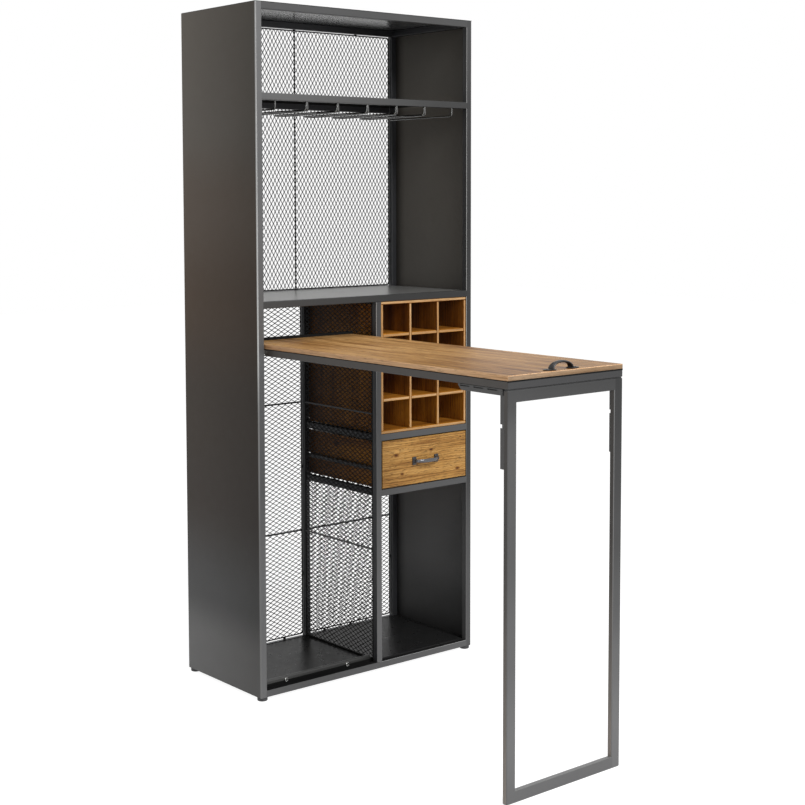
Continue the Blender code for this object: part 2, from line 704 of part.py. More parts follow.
def build_drawer():
    """A wooden drawer on two steel runners, with a bowed pull."""
    parent = pivot("drawer_slide", ((DIVIDER_RIGHT + INNER_RIGHT) / 2, FRONT, RUNNER_Z))
    x0 = DIVIDER_RIGHT + FRONT_REVEAL
    x1 = INNER_RIGHT - FRONT_REVEAL
    z0 = DRAWER_RAIL_TOP + FRONT_REVEAL
    z1 = RACK_RAIL_TOP - TUBE - FRONT_REVEAL
    back_of_front = FRONT + FRONT_BOARD
    place("drawer_front", box((x0, FRONT, z0), (x1, back_of_front, z1)), OAK, parent, bevel=WOOD_EDGE)

    start = back_of_front + GAP
    end = start + DRAWER_DEPTH
    low = z0 + DRAWER_RISE
    high = z1 - DRAWER_HEADROOM
    floor = low + DRAWER_GROOVE + GAP
    groove = RUNNER_HEIGHT / 2 + SLIDE_CLEARANCE
    bite = RUNNER_BITE + SLIDE_CLEARANCE - FRONT_REVEAL + GAP
    depth = max(bite, SLIDE_CLEARANCE)
    for name, outer, side in (("drawer_side_left", x0, 1), ("drawer_side_right", x1, -1)):
        inner = outer + side * DRAWER_WALL
        seat = inner - side * DRAWER_GROOVE
        section = [(outer, low), (inner, low), (inner, floor - GAP), (seat, floor - GAP),
                   (seat, floor + DRAWER_BOTTOM + GAP), (inner, floor + DRAWER_BOTTOM + GAP),
                   (inner, high), (outer, high), (outer, RUNNER_Z + groove),
                   (outer + side * depth, RUNNER_Z + groove), (outer + side * depth, RUNNER_Z - groove),
                   (outer, RUNNER_Z - groove)]
        place(name, prism(section, "y", start, end), OAK, parent)
    inner0 = x0 + DRAWER_WALL + GAP
    inner1 = x1 - DRAWER_WALL - GAP
    rest = floor + DRAWER_BOTTOM
    place("drawer_back", box((inner0, end - DRAWER_BACK, rest + GAP), (inner1, end, high)), OAK, parent)
    tongue = DRAWER_GROOVE - GAP
    bottom = box((inner0 - tongue, start, floor), (inner1 + tongue, end, rest))
    place("drawer_bottom", bottom, OAK, parent)

    for name, face, side in (("runner_left", DIVIDER_RIGHT, 1), ("runner_right", INNER_RIGHT, -1)):
        xs = sorted((face - side * RUNNER_ROOT, face + side * RUNNER_BITE))
        block = box((xs[0], FRONT + TUBE + GAP, RUNNER_Z - RUNNER_HEIGHT / 2),
                    (xs[1], REAR_FACE - GAP, RUNNER_Z + RUNNER_HEIGHT / 2))
        place(name, block, DARK_STEEL)

    centre = (x0 + x1) / 2
    level = (z0 + z1) / 2
    reach = PULL_WIDTH / 2 - PULL_BASE[0] / 2
    face = FRONT - GAP
    bow = PULL_STANDOFF - PULL_BAR[0]
    root = face - PULL_BASE[1] / 2
    corners = [(centre - reach, root, level), (centre - reach + PULL_RAKE, face - bow, level),
               (centre + reach - PULL_RAKE, face - bow, level), (centre + reach, root, level)]
    bar = wire(rounded(corners, [PULL_BEND, PULL_BEND], 4), PULL_BAR, (0, 0, 1), 8)
    pull = place("drawer_pull", bar, DARK_STEEL, parent, smooth=True)
    for label, x in (("base_left", centre - reach), ("base_right", centre + reach)):
        base = box((x - PULL_BASE[0] / 2, face - PULL_BASE[1], level - PULL_BASE[2] / 2),
                   (x + PULL_BASE[0] / 2, face, level + PULL_BASE[2] / 2))
        combine(pull, base, "UNION", label)


def build_leaf():
    """The table leaf on its two pivot pins, with the upper arms of the folding brackets."""
    parent = pivot("leaf_fold", ((LEAF_LEFT + LEAF_RIGHT) / 2, PIN_Y, PIN_Z))
    rear = FRONT + LEAF_BACK
    board = box((LEAF_LEFT, LEAF_END, TABLE_HEIGHT - LEAF_BOARD), (LEAF_RIGHT, rear, TABLE_HEIGHT))
    place("leaf_board", board, PALE_OAK, parent, bevel=WOOD_EDGE)
    ring = ladder((LEAF_LEFT, LEAF_RIGHT), (LEAF_END, rear), LEAF_TUBE,
                  [(LEAF_END, LEAF_END + LEAF_TUBE), (rear - LEAF_TUBE, rear)])
    frame = place("leaf_frame", ring.solid(LEAF_UNDER, LEAF_FRAME_TOP, in_top_plane), GRAPHITE, parent,
                  bevel=TUBE_EDGE)
    for label, face, side in (("pin_left", LEAF_LEFT, 1), ("pin_right", LEAF_RIGHT, -1)):
        post = face - side * (LEAF_SIDE_GAP - GAP)
        bore = PIN_RADIUS + GAP
        hole = turned([(bore, -CUT_OVERRUN), (bore, PIN_BITE + GAP)], (face, PIN_Y, PIN_Z), (side, 0, 0), 12)
        combine(frame, hole, "DIFFERENCE", label)
        spacer = LEAF_SIDE_GAP - 2 * GAP
        profile = [(WASHER_RADIUS, 0), (WASHER_RADIUS, spacer), (PIN_RADIUS, spacer),
                   (PIN_RADIUS, LEAF_SIDE_GAP - GAP + PIN_BITE)]
        pin = turned(profile, (post, PIN_Y, PIN_Z), (side, 0, 0), 12)
        place("pivot_" + label, pin, BRIGHT_STEEL, smooth=True)

    centre = (LEAF_LEFT + LEAF_RIGHT) / 2
    y = LEAF_END + GRIP_SETBACK
    base = TABLE_HEIGHT + GAP
    half = GRIP_SPAN / 2
    root = base + GRIP_FOOT[2] / 2
    crown = base + GRIP_RISE
    corners = [(centre - half, y, root), (centre - half * GRIP_CROWN, y, crown),
               (centre + half * GRIP_CROWN, y, crown), (centre + half, y, root)]
    bar = wire(rounded(corners, [GRIP_BEND, GRIP_BEND], 5), GRIP_BAR, (0, 1, 0), 8)
    grip = place("leaf_handle", bar, DARK_STEEL, parent, smooth=True)
    for label, side in (("foot_left", -1), ("foot_right", 1)):
        outer = centre + side * GRIP_WIDTH / 2
        xs = sorted((outer, outer - side * GRIP_FOOT[0]))
        foot = box((xs[0], y - GRIP_FOOT[1] / 2, base), (xs[1], y + GRIP_FOOT[1] / 2, base + GRIP_FOOT[2]))
        combine(grip, foot, "UNION", label)

    for name, x in bracket_centres("bracket_arm"):
        half = ARM_WIDTH / 2
        web = LEAF_UNDER - GAP
        under = web - ARM_HEIGHT
        inner = half - ARM_SHEET
        roof = web - ARM_SHEET
        section = [(x - half, under), (x - inner, under), (x - inner, roof), (x + inner, roof),
                   (x + inner, under), (x + half, under), (x + half, web), (x - half, web)]
        start = HINGE_Y - ARM_NOSE
        arm = place(name, prism(section, "y", start, start + ARM_LENGTH), DARK_STEEL, parent)
        rivet = turned([(RIVET_RADIUS, 0), (RIVET_RADIUS, ARM_WIDTH - ARM_SHEET)],
                       (x - half + ARM_SHEET / 2, HINGE_Y, HINGE_Z), (1, 0, 0), 10)
        combine(arm, rivet, "UNION", "rivet")
        bay = (ARM_LENGTH - 2 * ARM_NOSE) / ARM_SLOTS
        along, tall = ARM_SLOT
        for k in range(ARM_SLOTS):
            middle = start + 2 * ARM_NOSE + bay * (k + 0.5)
            slot = box((x - ARM_WIDTH, middle - along / 2, roof - GAP - tall),
                       (x + ARM_WIDTH, middle + along / 2, roof - GAP))
            combine(arm, slot, "DIFFERENCE", "slot_%d" % (k + 1))
        tail = start + ARM_LENGTH
        past = tail + CUT_OVERRUN
        below = under - CUT_OVERRUN
        slope = ARM_CHAMFER + 2 * CUT_OVERRUN
        corner = [(past - slope, below), (past, below), (past, below + slope)]
        combine(arm, prism(corner, "x", x - ARM_WIDTH, x + ARM_WIDTH), "DIFFERENCE", "tail")
    return parent


def bracket_centres(label):
    """Names and places across the table of the left and right bracket halves."""
    return ((label + "_left", LEAF_LEFT + LEAF_TUBE / 2), (label + "_right", LEAF_RIGHT - LEAF_TUBE / 2))


def build_leg(leaf):
    """The leg frame on the lower halves of the folding brackets."""
    parent = pivot("leg_fold", ((LEAF_LEFT + LEAF_RIGHT) / 2, HINGE_Y, HINGE_Z), leaf)
    ring = ladder((LEAF_LEFT, LEAF_RIGHT), (0.0, LEG_TOP), LEG_FACE,
                  [(0.0, LEG_FOOT_BAR), (LEG_TOP - LEG_FACE, LEG_TOP)])
    place("leg_frame", ring.solid(LEAF_END, LEG_BACK, in_front_plane), GRAPHITE, parent, bevel=TUBE_EDGE)
    for name, x in bracket_centres("bracket_strut"):
        half = ARM_WIDTH / 2 - ARM_SHEET - STRUT_PLAY
        web = LEG_BACK + GAP
        lip = HINGE_Y + STRUT_LIP
        section = [(x - half, web), (x + half, web), (x + half, lip), (x + half - STRUT_SHEET, lip),
                   (x + half - STRUT_SHEET, web + STRUT_SHEET), (x - half + STRUT_SHEET, web + STRUT_SHEET),
                   (x - half + STRUT_SHEET, lip), (x - half, lip)]
        top = HINGE_Z + STRUT_LIP
        strut = place(name, prism(section, "z", top - STRUT_LENGTH, top), DARK_STEEL, parent)
        hole = turned([(RIVET_RADIUS + GAP, 0), (RIVET_RADIUS + GAP, 2 * ARM_WIDTH)],
                      (x - ARM_WIDTH, HINGE_Y, HINGE_Z), (1, 0, 0), 10)
        combine(strut, hole, "DIFFERENCE", "hole")
        cut_top = top - STRUT_NOTCH[0]
        notch = box((x - ARM_WIDTH, (web + lip) / 2, cut_top - STRUT_NOTCH[1]),
                    (x + ARM_WIDTH, lip + ARM_WIDTH, cut_top))
        combine(strut, notch, "DIFFERENCE", "notch")


build_frame()
build_nets()
build_stemware_rail()
build_bottle_rack()
build_drawer()
build_leg(build_leaf())
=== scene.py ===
import math

import bmesh
import bpy
from mathutils import Matrix, Vector


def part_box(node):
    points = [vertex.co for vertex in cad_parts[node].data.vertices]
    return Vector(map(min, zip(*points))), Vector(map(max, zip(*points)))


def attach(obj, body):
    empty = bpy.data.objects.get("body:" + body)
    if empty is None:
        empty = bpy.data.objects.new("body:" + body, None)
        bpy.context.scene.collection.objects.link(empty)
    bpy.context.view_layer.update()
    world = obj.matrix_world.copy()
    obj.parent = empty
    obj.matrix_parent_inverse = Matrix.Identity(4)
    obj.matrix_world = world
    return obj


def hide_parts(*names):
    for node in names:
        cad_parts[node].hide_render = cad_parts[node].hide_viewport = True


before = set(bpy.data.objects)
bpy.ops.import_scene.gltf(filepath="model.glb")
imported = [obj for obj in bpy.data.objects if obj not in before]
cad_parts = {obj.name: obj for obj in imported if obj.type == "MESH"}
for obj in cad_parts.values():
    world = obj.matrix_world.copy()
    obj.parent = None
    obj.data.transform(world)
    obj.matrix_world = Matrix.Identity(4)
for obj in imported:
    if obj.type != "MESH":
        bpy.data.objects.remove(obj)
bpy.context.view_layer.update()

# Camera solved on the photograph
CAMERA_PLACE = (-2.84014, -3.19755, 1.45599)
CAMERA_YAW = 0.68077
CAMERA_PITCH = -0.0731
CAMERA_ROLL = -0.00346
FOCAL_PIXELS = 1505.87
PRINCIPAL_POINT = (368.29, 305.76)
PHOTO_SIZE = 805
SENSOR = 36.0

# Sizes of the visible detail
GAP = 0.0003
TUBE = 0.02
TUBE_RADIUS = 0.0022
LEG_RADIUS = 0.0032
SHEET = 0.0012
WRAP_RADIUS = 0.0042
WRAP_STEPS = 6
SHELF_SHEET = 0.002
SHELF_DROP = 0.0002
SHELF_LAP = 0.004
FOLD_RADIUS = 0.004
RUNG_INSET = 0.0036
LEDGE_WIDTH = 0.003
LEDGE_HEIGHT = 0.004

# Radii of eased edges
HAIR = 0.0001
FINE_EASE = 0.0003
SHEET_EASE = 0.0004
TRIM_EASE = 0.0005
GROOVE_EASE = 0.0008
STRIP_EASE = 0.001
LEAF_EASE = 0.0011
WOOD_EASE = 0.0014

# Ways that a face may lean, and how closely it has to
UP = Vector((0, 0, 1))
LEFTWARD = Vector((-1, 0, 0))
FORWARD = Vector((0, -1, 0))
LEFT_CORNER = Vector((-0.7, -0.7, 0))
FRONT_ARRIS = Vector((0, -0.5, 0.86))
PARALLEL = 0.9
SQUARE_ON = 0.95


def low(node):
    return Vector(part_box(node)[0])


def high(node):
    return Vector(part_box(node)[1])


def span(name):
    return low(name), high(name)


# Geometry


class Shape:
    """Closed bodies in world coordinates, with a material number for each face."""

    def __init__(self):
        self.verts, self.faces, self.slots = [], [], []

    def add(self, verts, faces, slot=0):
        base = len(self.verts)
        self.verts.extend(tuple(v) for v in verts)
        self.faces.extend([base + k for k in face] for face in faces)
        self.slots.extend([slot] * len(faces))

    def take(self, mesh, slot=0):
        bmesh.ops.recalc_face_normals(mesh, faces=mesh.faces)
        mesh.verts.index_update()
        self.add([v.co for v in mesh.verts], [[v.index for v in f.verts] for f in mesh.faces], slot)
        mesh.free()

    def faces_from(self, first=0):
        """Number, points and normal of each face from a number on."""
        for k in range(first, len(self.faces)):
            points = [Vector(self.verts[v]) for v in self.faces[k]]
            yield k, points, (points[1] - points[0]).cross(points[2] - points[0]).normalized()


def placed(name, data):
    thing = bpy.data.objects.new(name, data)
    bpy.context.scene.collection.objects.link(thing)
    return thing


def publish(name, shape, looks, body, stands_for=(), crease=40):
    """Turns a shape into a piece of the scene that rides on a body."""
    data = bpy.data.meshes.new(name)
    data.from_pydata(shape.verts, [], shape.faces)
    for look in looks:
        data.materials.append(look)
    data.polygons.foreach_set("material_index", shape.slots)
    data.update()
    data.shade_smooth()
    data.set_sharp_from_angle(angle=math.radians(crease))
    thing = placed(name, data)
    normals = thing.modifiers.new("normals", "WEIGHTED_NORMAL")
    normals.keep_sharp = True
    normals.weight = 90
    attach(thing, body)
    if stands_for:
        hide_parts(*stands_for)


def by_side(shape, first, rules, limit=PARALLEL):
    """Gives faces from a number on another material where they lean the stated way."""
    for k, _, normal in shape.faces_from(first):
        for lean, slot in rules:
            if normal.dot(lean) > limit:
                shape.slots[k] = slot


def ease(mesh, edges, radius, segments=2):
    bmesh.ops.bevel(mesh, geom=edges, offset=radius, offset_type="OFFSET", segments=segments,
                    profile=0.5, affect="EDGES", clamp_overlap=True)


def sharp_edges(mesh, degrees):
    return [e for e in mesh.edges if e.is_manifold and e.calc_face_angle() > math.radians(degrees)]


def bar(shape, start, end, radius=TUBE_RADIUS, along=None, segments=3, slot=0):
    """A block with rounded edges: those along one axis, or all of them."""
    mesh = bmesh.new()
    bmesh.ops.create_cube(mesh, size=1.0)
    for v in mesh.verts:
        for k in range(3):
            v.co[k] = start[k] if v.co[k] < 0 else end[k]
    edges = list(mesh.edges)
    if along:
        runs = [(edge.verts[1].co - edge.verts[0].co).normalized()["xyz".index(along)] for edge in edges]
        edges = [edge for edge, run in zip(edges, runs) if abs(run) > PARALLEL]
    ease(mesh, edges, radius, segments)
    shape.take(mesh, slot)


def skin(mesh, rings):
    """Closed body over rings of the same number of points."""
    mesh.faces.new(rings[0])
    mesh.faces.new(rings[-1])
    count = len(rings[0])
    for near, far in zip(rings, rings[1:]):
        for k in range(count):
            n = (k + 1) % count
            mesh.faces.new((near[k], near[n], far[n], far[k]))
    bmesh.ops.recalc_face_normals(mesh, faces=mesh.faces)


def prism(shape, outline, axis, start, end, radius=0.0):
    """An outline in the two other axes, in X, Y, Z order, pushed along an axis."""
    mesh = bmesh.new()
    k = "xyz".index(axis)
    ends = [[(*spot[:k], level, *spot[k:]) for spot in outline] for level in (start, end)]
    skin(mesh, [[mesh.verts.new(point) for point in ring] for ring in ends])
    if radius:
        ease(mesh, sharp_edges(mesh, 30), radius)
    shape.take(mesh)


def quad(p, q, half_p, half_q):
    """The corners of a rectangle round a point."""
    return [(p + i * half_p, q + j * half_q) for i, j in ((-1, -1), (1, -1), (1, 1), (-1, 1))]


def lattice(shape, verts, sides, slot=0, closed=False, flip=False):
    """A body over rings of points, ring after ring, with flat ends unless it closes."""
    rows = len(verts) // sides
    faces = []
    for r in range(rows if closed else rows - 1):
        a, b = r * sides, (r + 1) % rows * sides
        for k in range(sides):
            i, j = (k, (k + 1) % sides)[::-1 if flip else 1]
            faces.append((a + i, a + j, b + j, b + i))
    if not closed:
        end = range((rows - 1) * sides, rows * sides)
        faces += [tuple(range(sides))[::1 if flip else -1], tuple(end)[::-1 if flip else 1]]
    shape.add(verts, faces, slot)


def turned(shape, profile, centre, axis, sides=32, slot=0, scale=(1, 1)):
    """A turned body from (radius, distance along the axis) pairs, closed by flat ends."""
    turn = UP.rotation_difference(Vector(axis)).to_matrix()
    verts = []
    for radius, along in profile:
        for k in range(sides):
            angle = 2 * math.pi * k / sides
            across = scale[0] * radius
            local = Vector((across * math.cos(angle), across * math.sin(angle), scale[1] * along))
            verts.append(Vector(centre) + turn @ local)
    lattice(shape, verts, sides, slot)


def rounded(corners, radii, steps=8):
    """Points along a bent wire: straight runs, with an arc at each inner corner."""
    points = [Vector(corners[0])]
    for before, corner, after, radius in zip(corners, corners[1:], corners[2:], radii):
        corner = Vector(corner)
        back = (Vector(before) - corner).normalized()
        ahead = (Vector(after) - corner).normalized()
        half = back.angle(ahead) / 2
        start = corner + back * (radius / math.tan(half))
        middle = corner + (back + ahead).normalized() * (radius / math.sin(half))
        arm = start - middle
        spin = back.cross(ahead).normalized()
        sweep = math.pi - 2 * half
        for k in range(steps + 1):
            points.append(middle + Matrix.Rotation(-sweep * k / steps, 3, spin) @ arm)
    points.append(Vector(corners[-1]))
    return points


def wire(shape, points, radii, up, sides, slot=0, closed=False):
    """A round or oval bar along a path; radii are a pair, or one pair for each point."""
    points = [Vector(p) for p in points]
    count = len(points)
    up = Vector(up)
    verts = []
    heading = None
    for k, point in enumerate(points):
        after, before = (k + 1, k - 1) if closed else (min(k + 1, count - 1), max(k - 1, 0))
        ahead = points[after % count] - point
        behind = point - points[before]
        direction = (ahead.normalized() + behind.normalized()).normalized()
        if heading is not None:
            up = heading.rotation_difference(direction) @ up
        heading = direction
        side = direction.cross(up).normalized()
        up = side.cross(direction).normalized()
        across, tall = radii[k] if isinstance(radii, list) else radii
        for s in range(sides):
            angle = 2 * math.pi * (s + 0.5) / sides
            verts.append(point + side * (across * math.cos(angle)) + up * (tall * math.sin(angle)))
    lattice(shape, verts, sides, slot, closed, True)


# Materials

WHITE = (1.0, 1.0, 1.0, 1.0)
FALL_HEIGHT = 2.0


def node(tree, kind, inputs=None, **settings):
    made = tree.nodes.new(kind)
    for key, value in settings.items():
        setattr(made, key, value)
    for key, value in (inputs or {}).items():
        socket = made.inputs[key]
        if isinstance(value, bpy.types.NodeSocket):
            tree.links.new(value, socket)
        else:
            socket.default_value = value
    return made


def maths(tree, operation, a, b=0.0, c=0.0):
    return node(tree, "ShaderNodeMath", {0: a, 1: b, 2: c}, operation=operation).outputs[0]


def times_plus(tree, a, b, c):
    return maths(tree, "MULTIPLY_ADD", a, b, c)


def blended(tree, factor, a, b, how="MIX"):
    return node(tree, "ShaderNodeMix", {0: factor, 6: a, 7: b}, data_type="RGBA", blend_type=how).outputs[2]


def scaled(tree, colour, tone):
    return node(tree, "ShaderNodeVectorMath", {0: rgb(colour), "Scale": tone}, operation="SCALE").outputs[0]


def ramp(tree, factor, stops, interpolation="LINEAR"):
    made = node(tree, "ShaderNodeValToRGB", {"Fac": factor})
    made.color_ramp.interpolation = interpolation
    while len(made.color_ramp.elements) < len(stops):
        made.color_ramp.elements.new(0.5)
    for element, (place, colour) in zip(made.color_ramp.elements, stops):
        element.position = place
        element.color = (*rgb(colour), 1.0)
    return made.outputs["Color"]


def rgb(value):
    """A colour, or the grey of a number."""
    return (value,) * 3 if isinstance(value, float) else value


def noise(tree, vector, scale, detail=2.0, roughness=0.5):
    inputs = {"Vector": vector, "Scale": scale, "Detail": detail, "Roughness": roughness}
    return node(tree, "ShaderNodeTexNoise", inputs).outputs[0]


def blank(name):
    made = bpy.data.materials.new(name)
    made.use_nodes = True
    tree = made.node_tree
    place = node(tree, "ShaderNodeTexCoord").outputs["Object"]
    return made, tree, tree.nodes["Principled BSDF"], place


def painted_tint(tree, paint, value, start, end, tint):
    """Painted light and shade: paint that takes on a tint between two places along an axis."""
    share = node(tree, "ShaderNodeMapRange", {0: value, 1: start, 2: end, 3: 0.0, 4: 1.0}).outputs[0]
    return blended(tree, 1.0, paint, blended(tree, share, WHITE, (*rgb(tint), 1.0)), "MULTIPLY")


def dress(tree, shader, paint, gloss, strength, distance, height):
    """Colour, roughness and relief of a surface."""
    tree.links.new(paint, shader.inputs["Base Color"])
    tree.links.new(gloss, shader.inputs["Roughness"])
    bump = node(tree, "ShaderNodeBump", {"Strength": strength, "Distance": distance, "Height": height})
    tree.links.new(bump.outputs[0], shader.inputs["Normal"])


def lacquer(name, colour, roughness=0.42, metallic=0.2, falls=(), grain=0.06, specular=0.5, sweep=None,
            corner=None, patch=0.2):
    """Satin metal lacquer: cloudy, with a fine orange-peel skin, and tones that change with the place as
    painted light and shade.
    """
    made, tree, shader, place = blank(name)
    cloud = noise(tree, place, 2.3, 3.0)
    speck = noise(tree, place, 420.0, 2.0)
    tone = times_plus(tree, cloud, 0.22, 0.89)
    tone = times_plus(tree, maths(tree, "SUBTRACT", speck, 0.5), 0.16, tone)
    paint = scaled(tree, colour, tone)
    split = node(tree, "ShaderNodeSeparateXYZ", {0: place})
    # Painted light and shade: a tone curve over the height, then tints along an axis
    if falls:
        level = maths(tree, "MULTIPLY", split.outputs[2], 1 / FALL_HEIGHT)
        paint = blended(tree, 1.0, paint, ramp(tree, level, falls, "EASE"), "MULTIPLY")
    for course in (sweep, corner):
        if course:
            paint = painted_tint(tree, paint, split.outputs[course[0]], *course[1:])
    smear = noise(tree, place, 36.0, 4.0, 0.6)
    gloss = times_plus(tree, maths(tree, "SUBTRACT", smear, 0.5), patch, roughness)
    shader.inputs["Metallic"].default_value = metallic
    shader.inputs["Specular IOR Level"].default_value = specular
    dress(tree, shader, paint, gloss, grain, 0.0004, noise(tree, place, 900.0, 1.0))
    return made


def bright(name, colour, roughness, along=(1.0, 1.0, 1.0)):
    """Plated steel with faint drawing lines."""
    made, tree, shader, place = blank(name)
    drawn = node(tree, "ShaderNodeVectorMath", {0: place, 1: along}, operation="MULTIPLY").outputs[0]
    line = noise(tree, drawn, 500.0, 3.0)
    paint = scaled(tree, colour, times_plus(tree, noise(tree, place, 14.0, 3.0), 0.3, 0.82))
    shader.inputs["Metallic"].default_value = 1.0
    dress(tree, shader, paint, times_plus(tree, line, 0.16, roughness - 0.08), 0.05, 0.0003, line)
    return made


def moulded(name, colour, roughness):
    """Moulded plastic or rubber with a fine matt grain."""
    made, tree, shader, place = blank(name)
    grain = noise(tree, place, 700.0, 3.0)
    paint = scaled(tree, colour, times_plus(tree, noise(tree, place, 30.0, 2.0), 0.5, 0.75))
    dress(tree, shader, paint, times_plus(tree, grain, 0.2, roughness - 0.1), 0.2, 0.0004, grain)
    return made


def wood(name, grain, pale, mid, dark, rings=90.0, streak=0.5, flecks=0.55, knots=(), roughness=0.5,
         seed=0.0, painted_fade=None, fine=1.0, bands=260.0):
    """Oiled oak: growth lines, streaks, pores and knots along the X, Y or Z grain, with an optional fade
    that paints light and shade as a tint along an axis.
    """
    made, tree, shader, place = blank(name)
    split = node(tree, "ShaderNodeSeparateXYZ", {0: place})
    order = {"x": (0, 2, 1), "y": (1, 0, 2), "yz": (1, 2, 0), "z": (2, 1, 0)}[grain]
    along, across, deep = (split.outputs[k] for k in order)

    def stretched(a, c):
        return node(tree, "ShaderNodeCombineXYZ", {
            0: times_plus(tree, along, a, seed),
            1: times_plus(tree, across, c, seed * 1.7),
            2: times_plus(tree, deep, c, seed * 0.6)}).outputs[0]

    warp = noise(tree, stretched(3.0, 12.0), 1.0, 3.0, 0.55)
    phase = times_plus(tree, across, rings, maths(tree, "MULTIPLY", deep, rings * 0.6))
    phase = times_plus(tree, warp, 7.0, phase)
    heart = None
    for place_along, place_across, size in knots:
        x = maths(tree, "DIVIDE", maths(tree, "SUBTRACT", along, place_along), size * 1.9)
        y = maths(tree, "DIVIDE", maths(tree, "SUBTRACT", across, place_across), size)
        square = times_plus(tree, x, x, maths(tree, "MULTIPLY", y, y))
        swell = maths(tree, "EXPONENT", maths(tree, "MULTIPLY", square, -0.16))
        phase = times_plus(tree, swell, 1.6, phase)
        ragged = times_plus(tree, warp, 2.4, -2.1)
        core = maths(tree, "EXPONENT", maths(tree, "MULTIPLY", square, ragged))
        heart = core if heart is None else maths(tree, "MAXIMUM", heart, core)
    line = maths(tree, "POWER", maths(tree, "FRACT", phase), 1.8)
    figure = noise(tree, stretched(2.0, 26.0), 1.0, 4.0, 0.65)
    band = noise(tree, stretched(3.5, bands), 1.0, 3.0, 0.6)
    fibre = noise(tree, stretched(10.0, 640.0), 1.0, 3.0, 0.6)
    pore = noise(tree, stretched(40.0 * fine, 420.0 * fine), 1.0, 2.0)
    mixed = times_plus(tree, maths(tree, "SUBTRACT", band, 0.5), streak, figure)
    colour = ramp(tree, mixed, [(0.3, dark), (0.48, mid), (0.66, pale)], "EASE")
    lines = times_plus(tree, line, -0.34 * streak, 1.06)
    lines = maths(tree, "MULTIPLY", lines, times_plus(tree, fibre, 0.44, 0.78))
    holes = ramp(tree, pore, [(0.56, 1.0), (0.68, 1.0 - flecks)])
    paint = scaled(tree, colour, maths(tree, "MULTIPLY", lines, holes))
    # Painted light and shade as a tint along an axis
    if painted_fade:
        paint = painted_tint(tree, paint, split.outputs[painted_fade[0]], *painted_fade[1:])
    if heart is not None:
        burn = ramp(tree, heart, [(0.1, 1.0), (0.45, (0.62, 0.5, 0.38)), (0.85, (0.2, 0.11, 0.06))])
        paint = blended(tree, 1.0, paint, burn, "MULTIPLY")
    shader.inputs["Specular IOR Level"].default_value = 0.22
    relief = times_plus(tree, fibre, 0.5, maths(tree, "MULTIPLY", holes, 0.5))
    dress(tree, shader, paint, times_plus(tree, fibre, 0.22, roughness - 0.11), 0.25, 0.0004, relief)
    return made


# Painted light and shade over the height: share of FALL_HEIGHT, then a factor or a tint
LEFT_PAINTED_LIGHT = ((0.0, (1.6, 1.92, 2.4)), (0.059, (1.48, 1.77, 2.2)), (0.132, (0.78, 0.94, 1.18)),
              (0.279, (0.48, 0.49, 0.54)), (0.425, (0.51, 0.51, 0.535)), (0.572, (0.72, 0.635, 0.59)),
              (0.718, (1.0, 0.975, 1.0)), (0.836, (1.12, 1.22, 1.34)), (1.0, (1.15, 1.25, 1.36)))
RIGHT_PAINTED_LIGHT = ((0.0, (0.3, 0.327, 0.378)), (0.06, (0.78, 0.85, 0.98)), (0.14, (1.42, 1.55, 1.79)),
               (0.28, (1.55, 1.66, 1.88)), (0.45, (1.48, 1.5, 1.53)), (1.0, 1.52))
POST_PAINTED_LIGHT = ((0.0, 1.5), (0.18, 1.45), (0.33, 0.8), (0.48, 0.95), (0.75, 1.02), (1.0, 1.28))
FAR_POST_PAINTED_LIGHT = ((0.0, 0.86), (0.17, 0.84), (0.3, 0.44), (0.5, 0.34), (0.7, 0.26), (0.85, 0.38),
                  (0.93, 0.52), (1.0, 0.58))
DIVIDER_PAINTED_LIGHT = ((0.0, 1.36), (0.05, 1.36), (0.125, 1.19), (0.217, 1.0), (0.308, 0.74), (0.4, 0.55),
                 (0.46, 0.5), (0.54, 0.36), (1.0, 0.36))
EDGE_PAINTED_LIGHT = ((0.0, 0.72), (0.25, 0.66), (0.4, 0.9), (0.52, 2.05), (0.75, 1.7), (1.0, 1.25))
LEG_PAINTED_LIGHT = ((0.0, 1.16), (0.07, 1.42), (0.19, 0.98), (0.31, 0.71), (0.44, 0.76), (0.485, 0.46),
             (0.5, 0.4), (1.0, 0.4))
FLANK_PAINTED_LIGHT = ((0.0, 4.4), (0.048, 4.2), (0.098, 3.1), (0.178, 2.05), (0.25, 1.04), (0.308, 0.64),
               (0.386, 0.62), (0.44, 0.67), (0.49, 1.0), (1.0, 1.0))
FAR_LEG_PAINTED_LIGHT = ((0.0, 1.58), (0.058, 1.6), (0.139, 1.26), (0.22, 0.8), (0.3, 0.53), (0.38, 0.41),
                 (0.4625, 0.31), (0.5, 0.28), (1.0, 0.28))
RAIL_PAINTED_LIGHT = ((0.0, 0.96), (0.03, 0.96), (0.1, 0.72), (0.57, 0.72), (0.95, 0.6), (1.0, 0.56))

# Steel: one lacquer, with painted light and shade on each part; a sweep of painted light and shade runs
# along axis 0, 1 or 2 between two places
STEEL = (0.083, 0.083, 0.084)


def steel(name, colour=STEEL, *tones, **more):
    return lacquer("graphite_" + name, colour, *tones, **more)


# Painted light and shade over the height on the posts, divider and leg; the far post and far leg are copies
# with their own painted light and shade, mostly darker, and the leg head adds painted shade along its length
post = steel("post", falls=POST_PAINTED_LIGHT)
divider_post = steel("divider", falls=DIVIDER_PAINTED_LIGHT)
far_post_shade = steel("far_post_shade", metallic=0.1, falls=FAR_POST_PAINTED_LIGHT, specular=0.25)
leg = steel("leg", falls=LEG_PAINTED_LIGHT)
leg_far_shade = steel("far_leg_shade", metallic=0.1, falls=FAR_LEG_PAINTED_LIGHT, specular=0.25)
leg_head = steel("leg_head", falls=LEG_PAINTED_LIGHT, sweep=(0, -0.35, 0.0, 0.68))
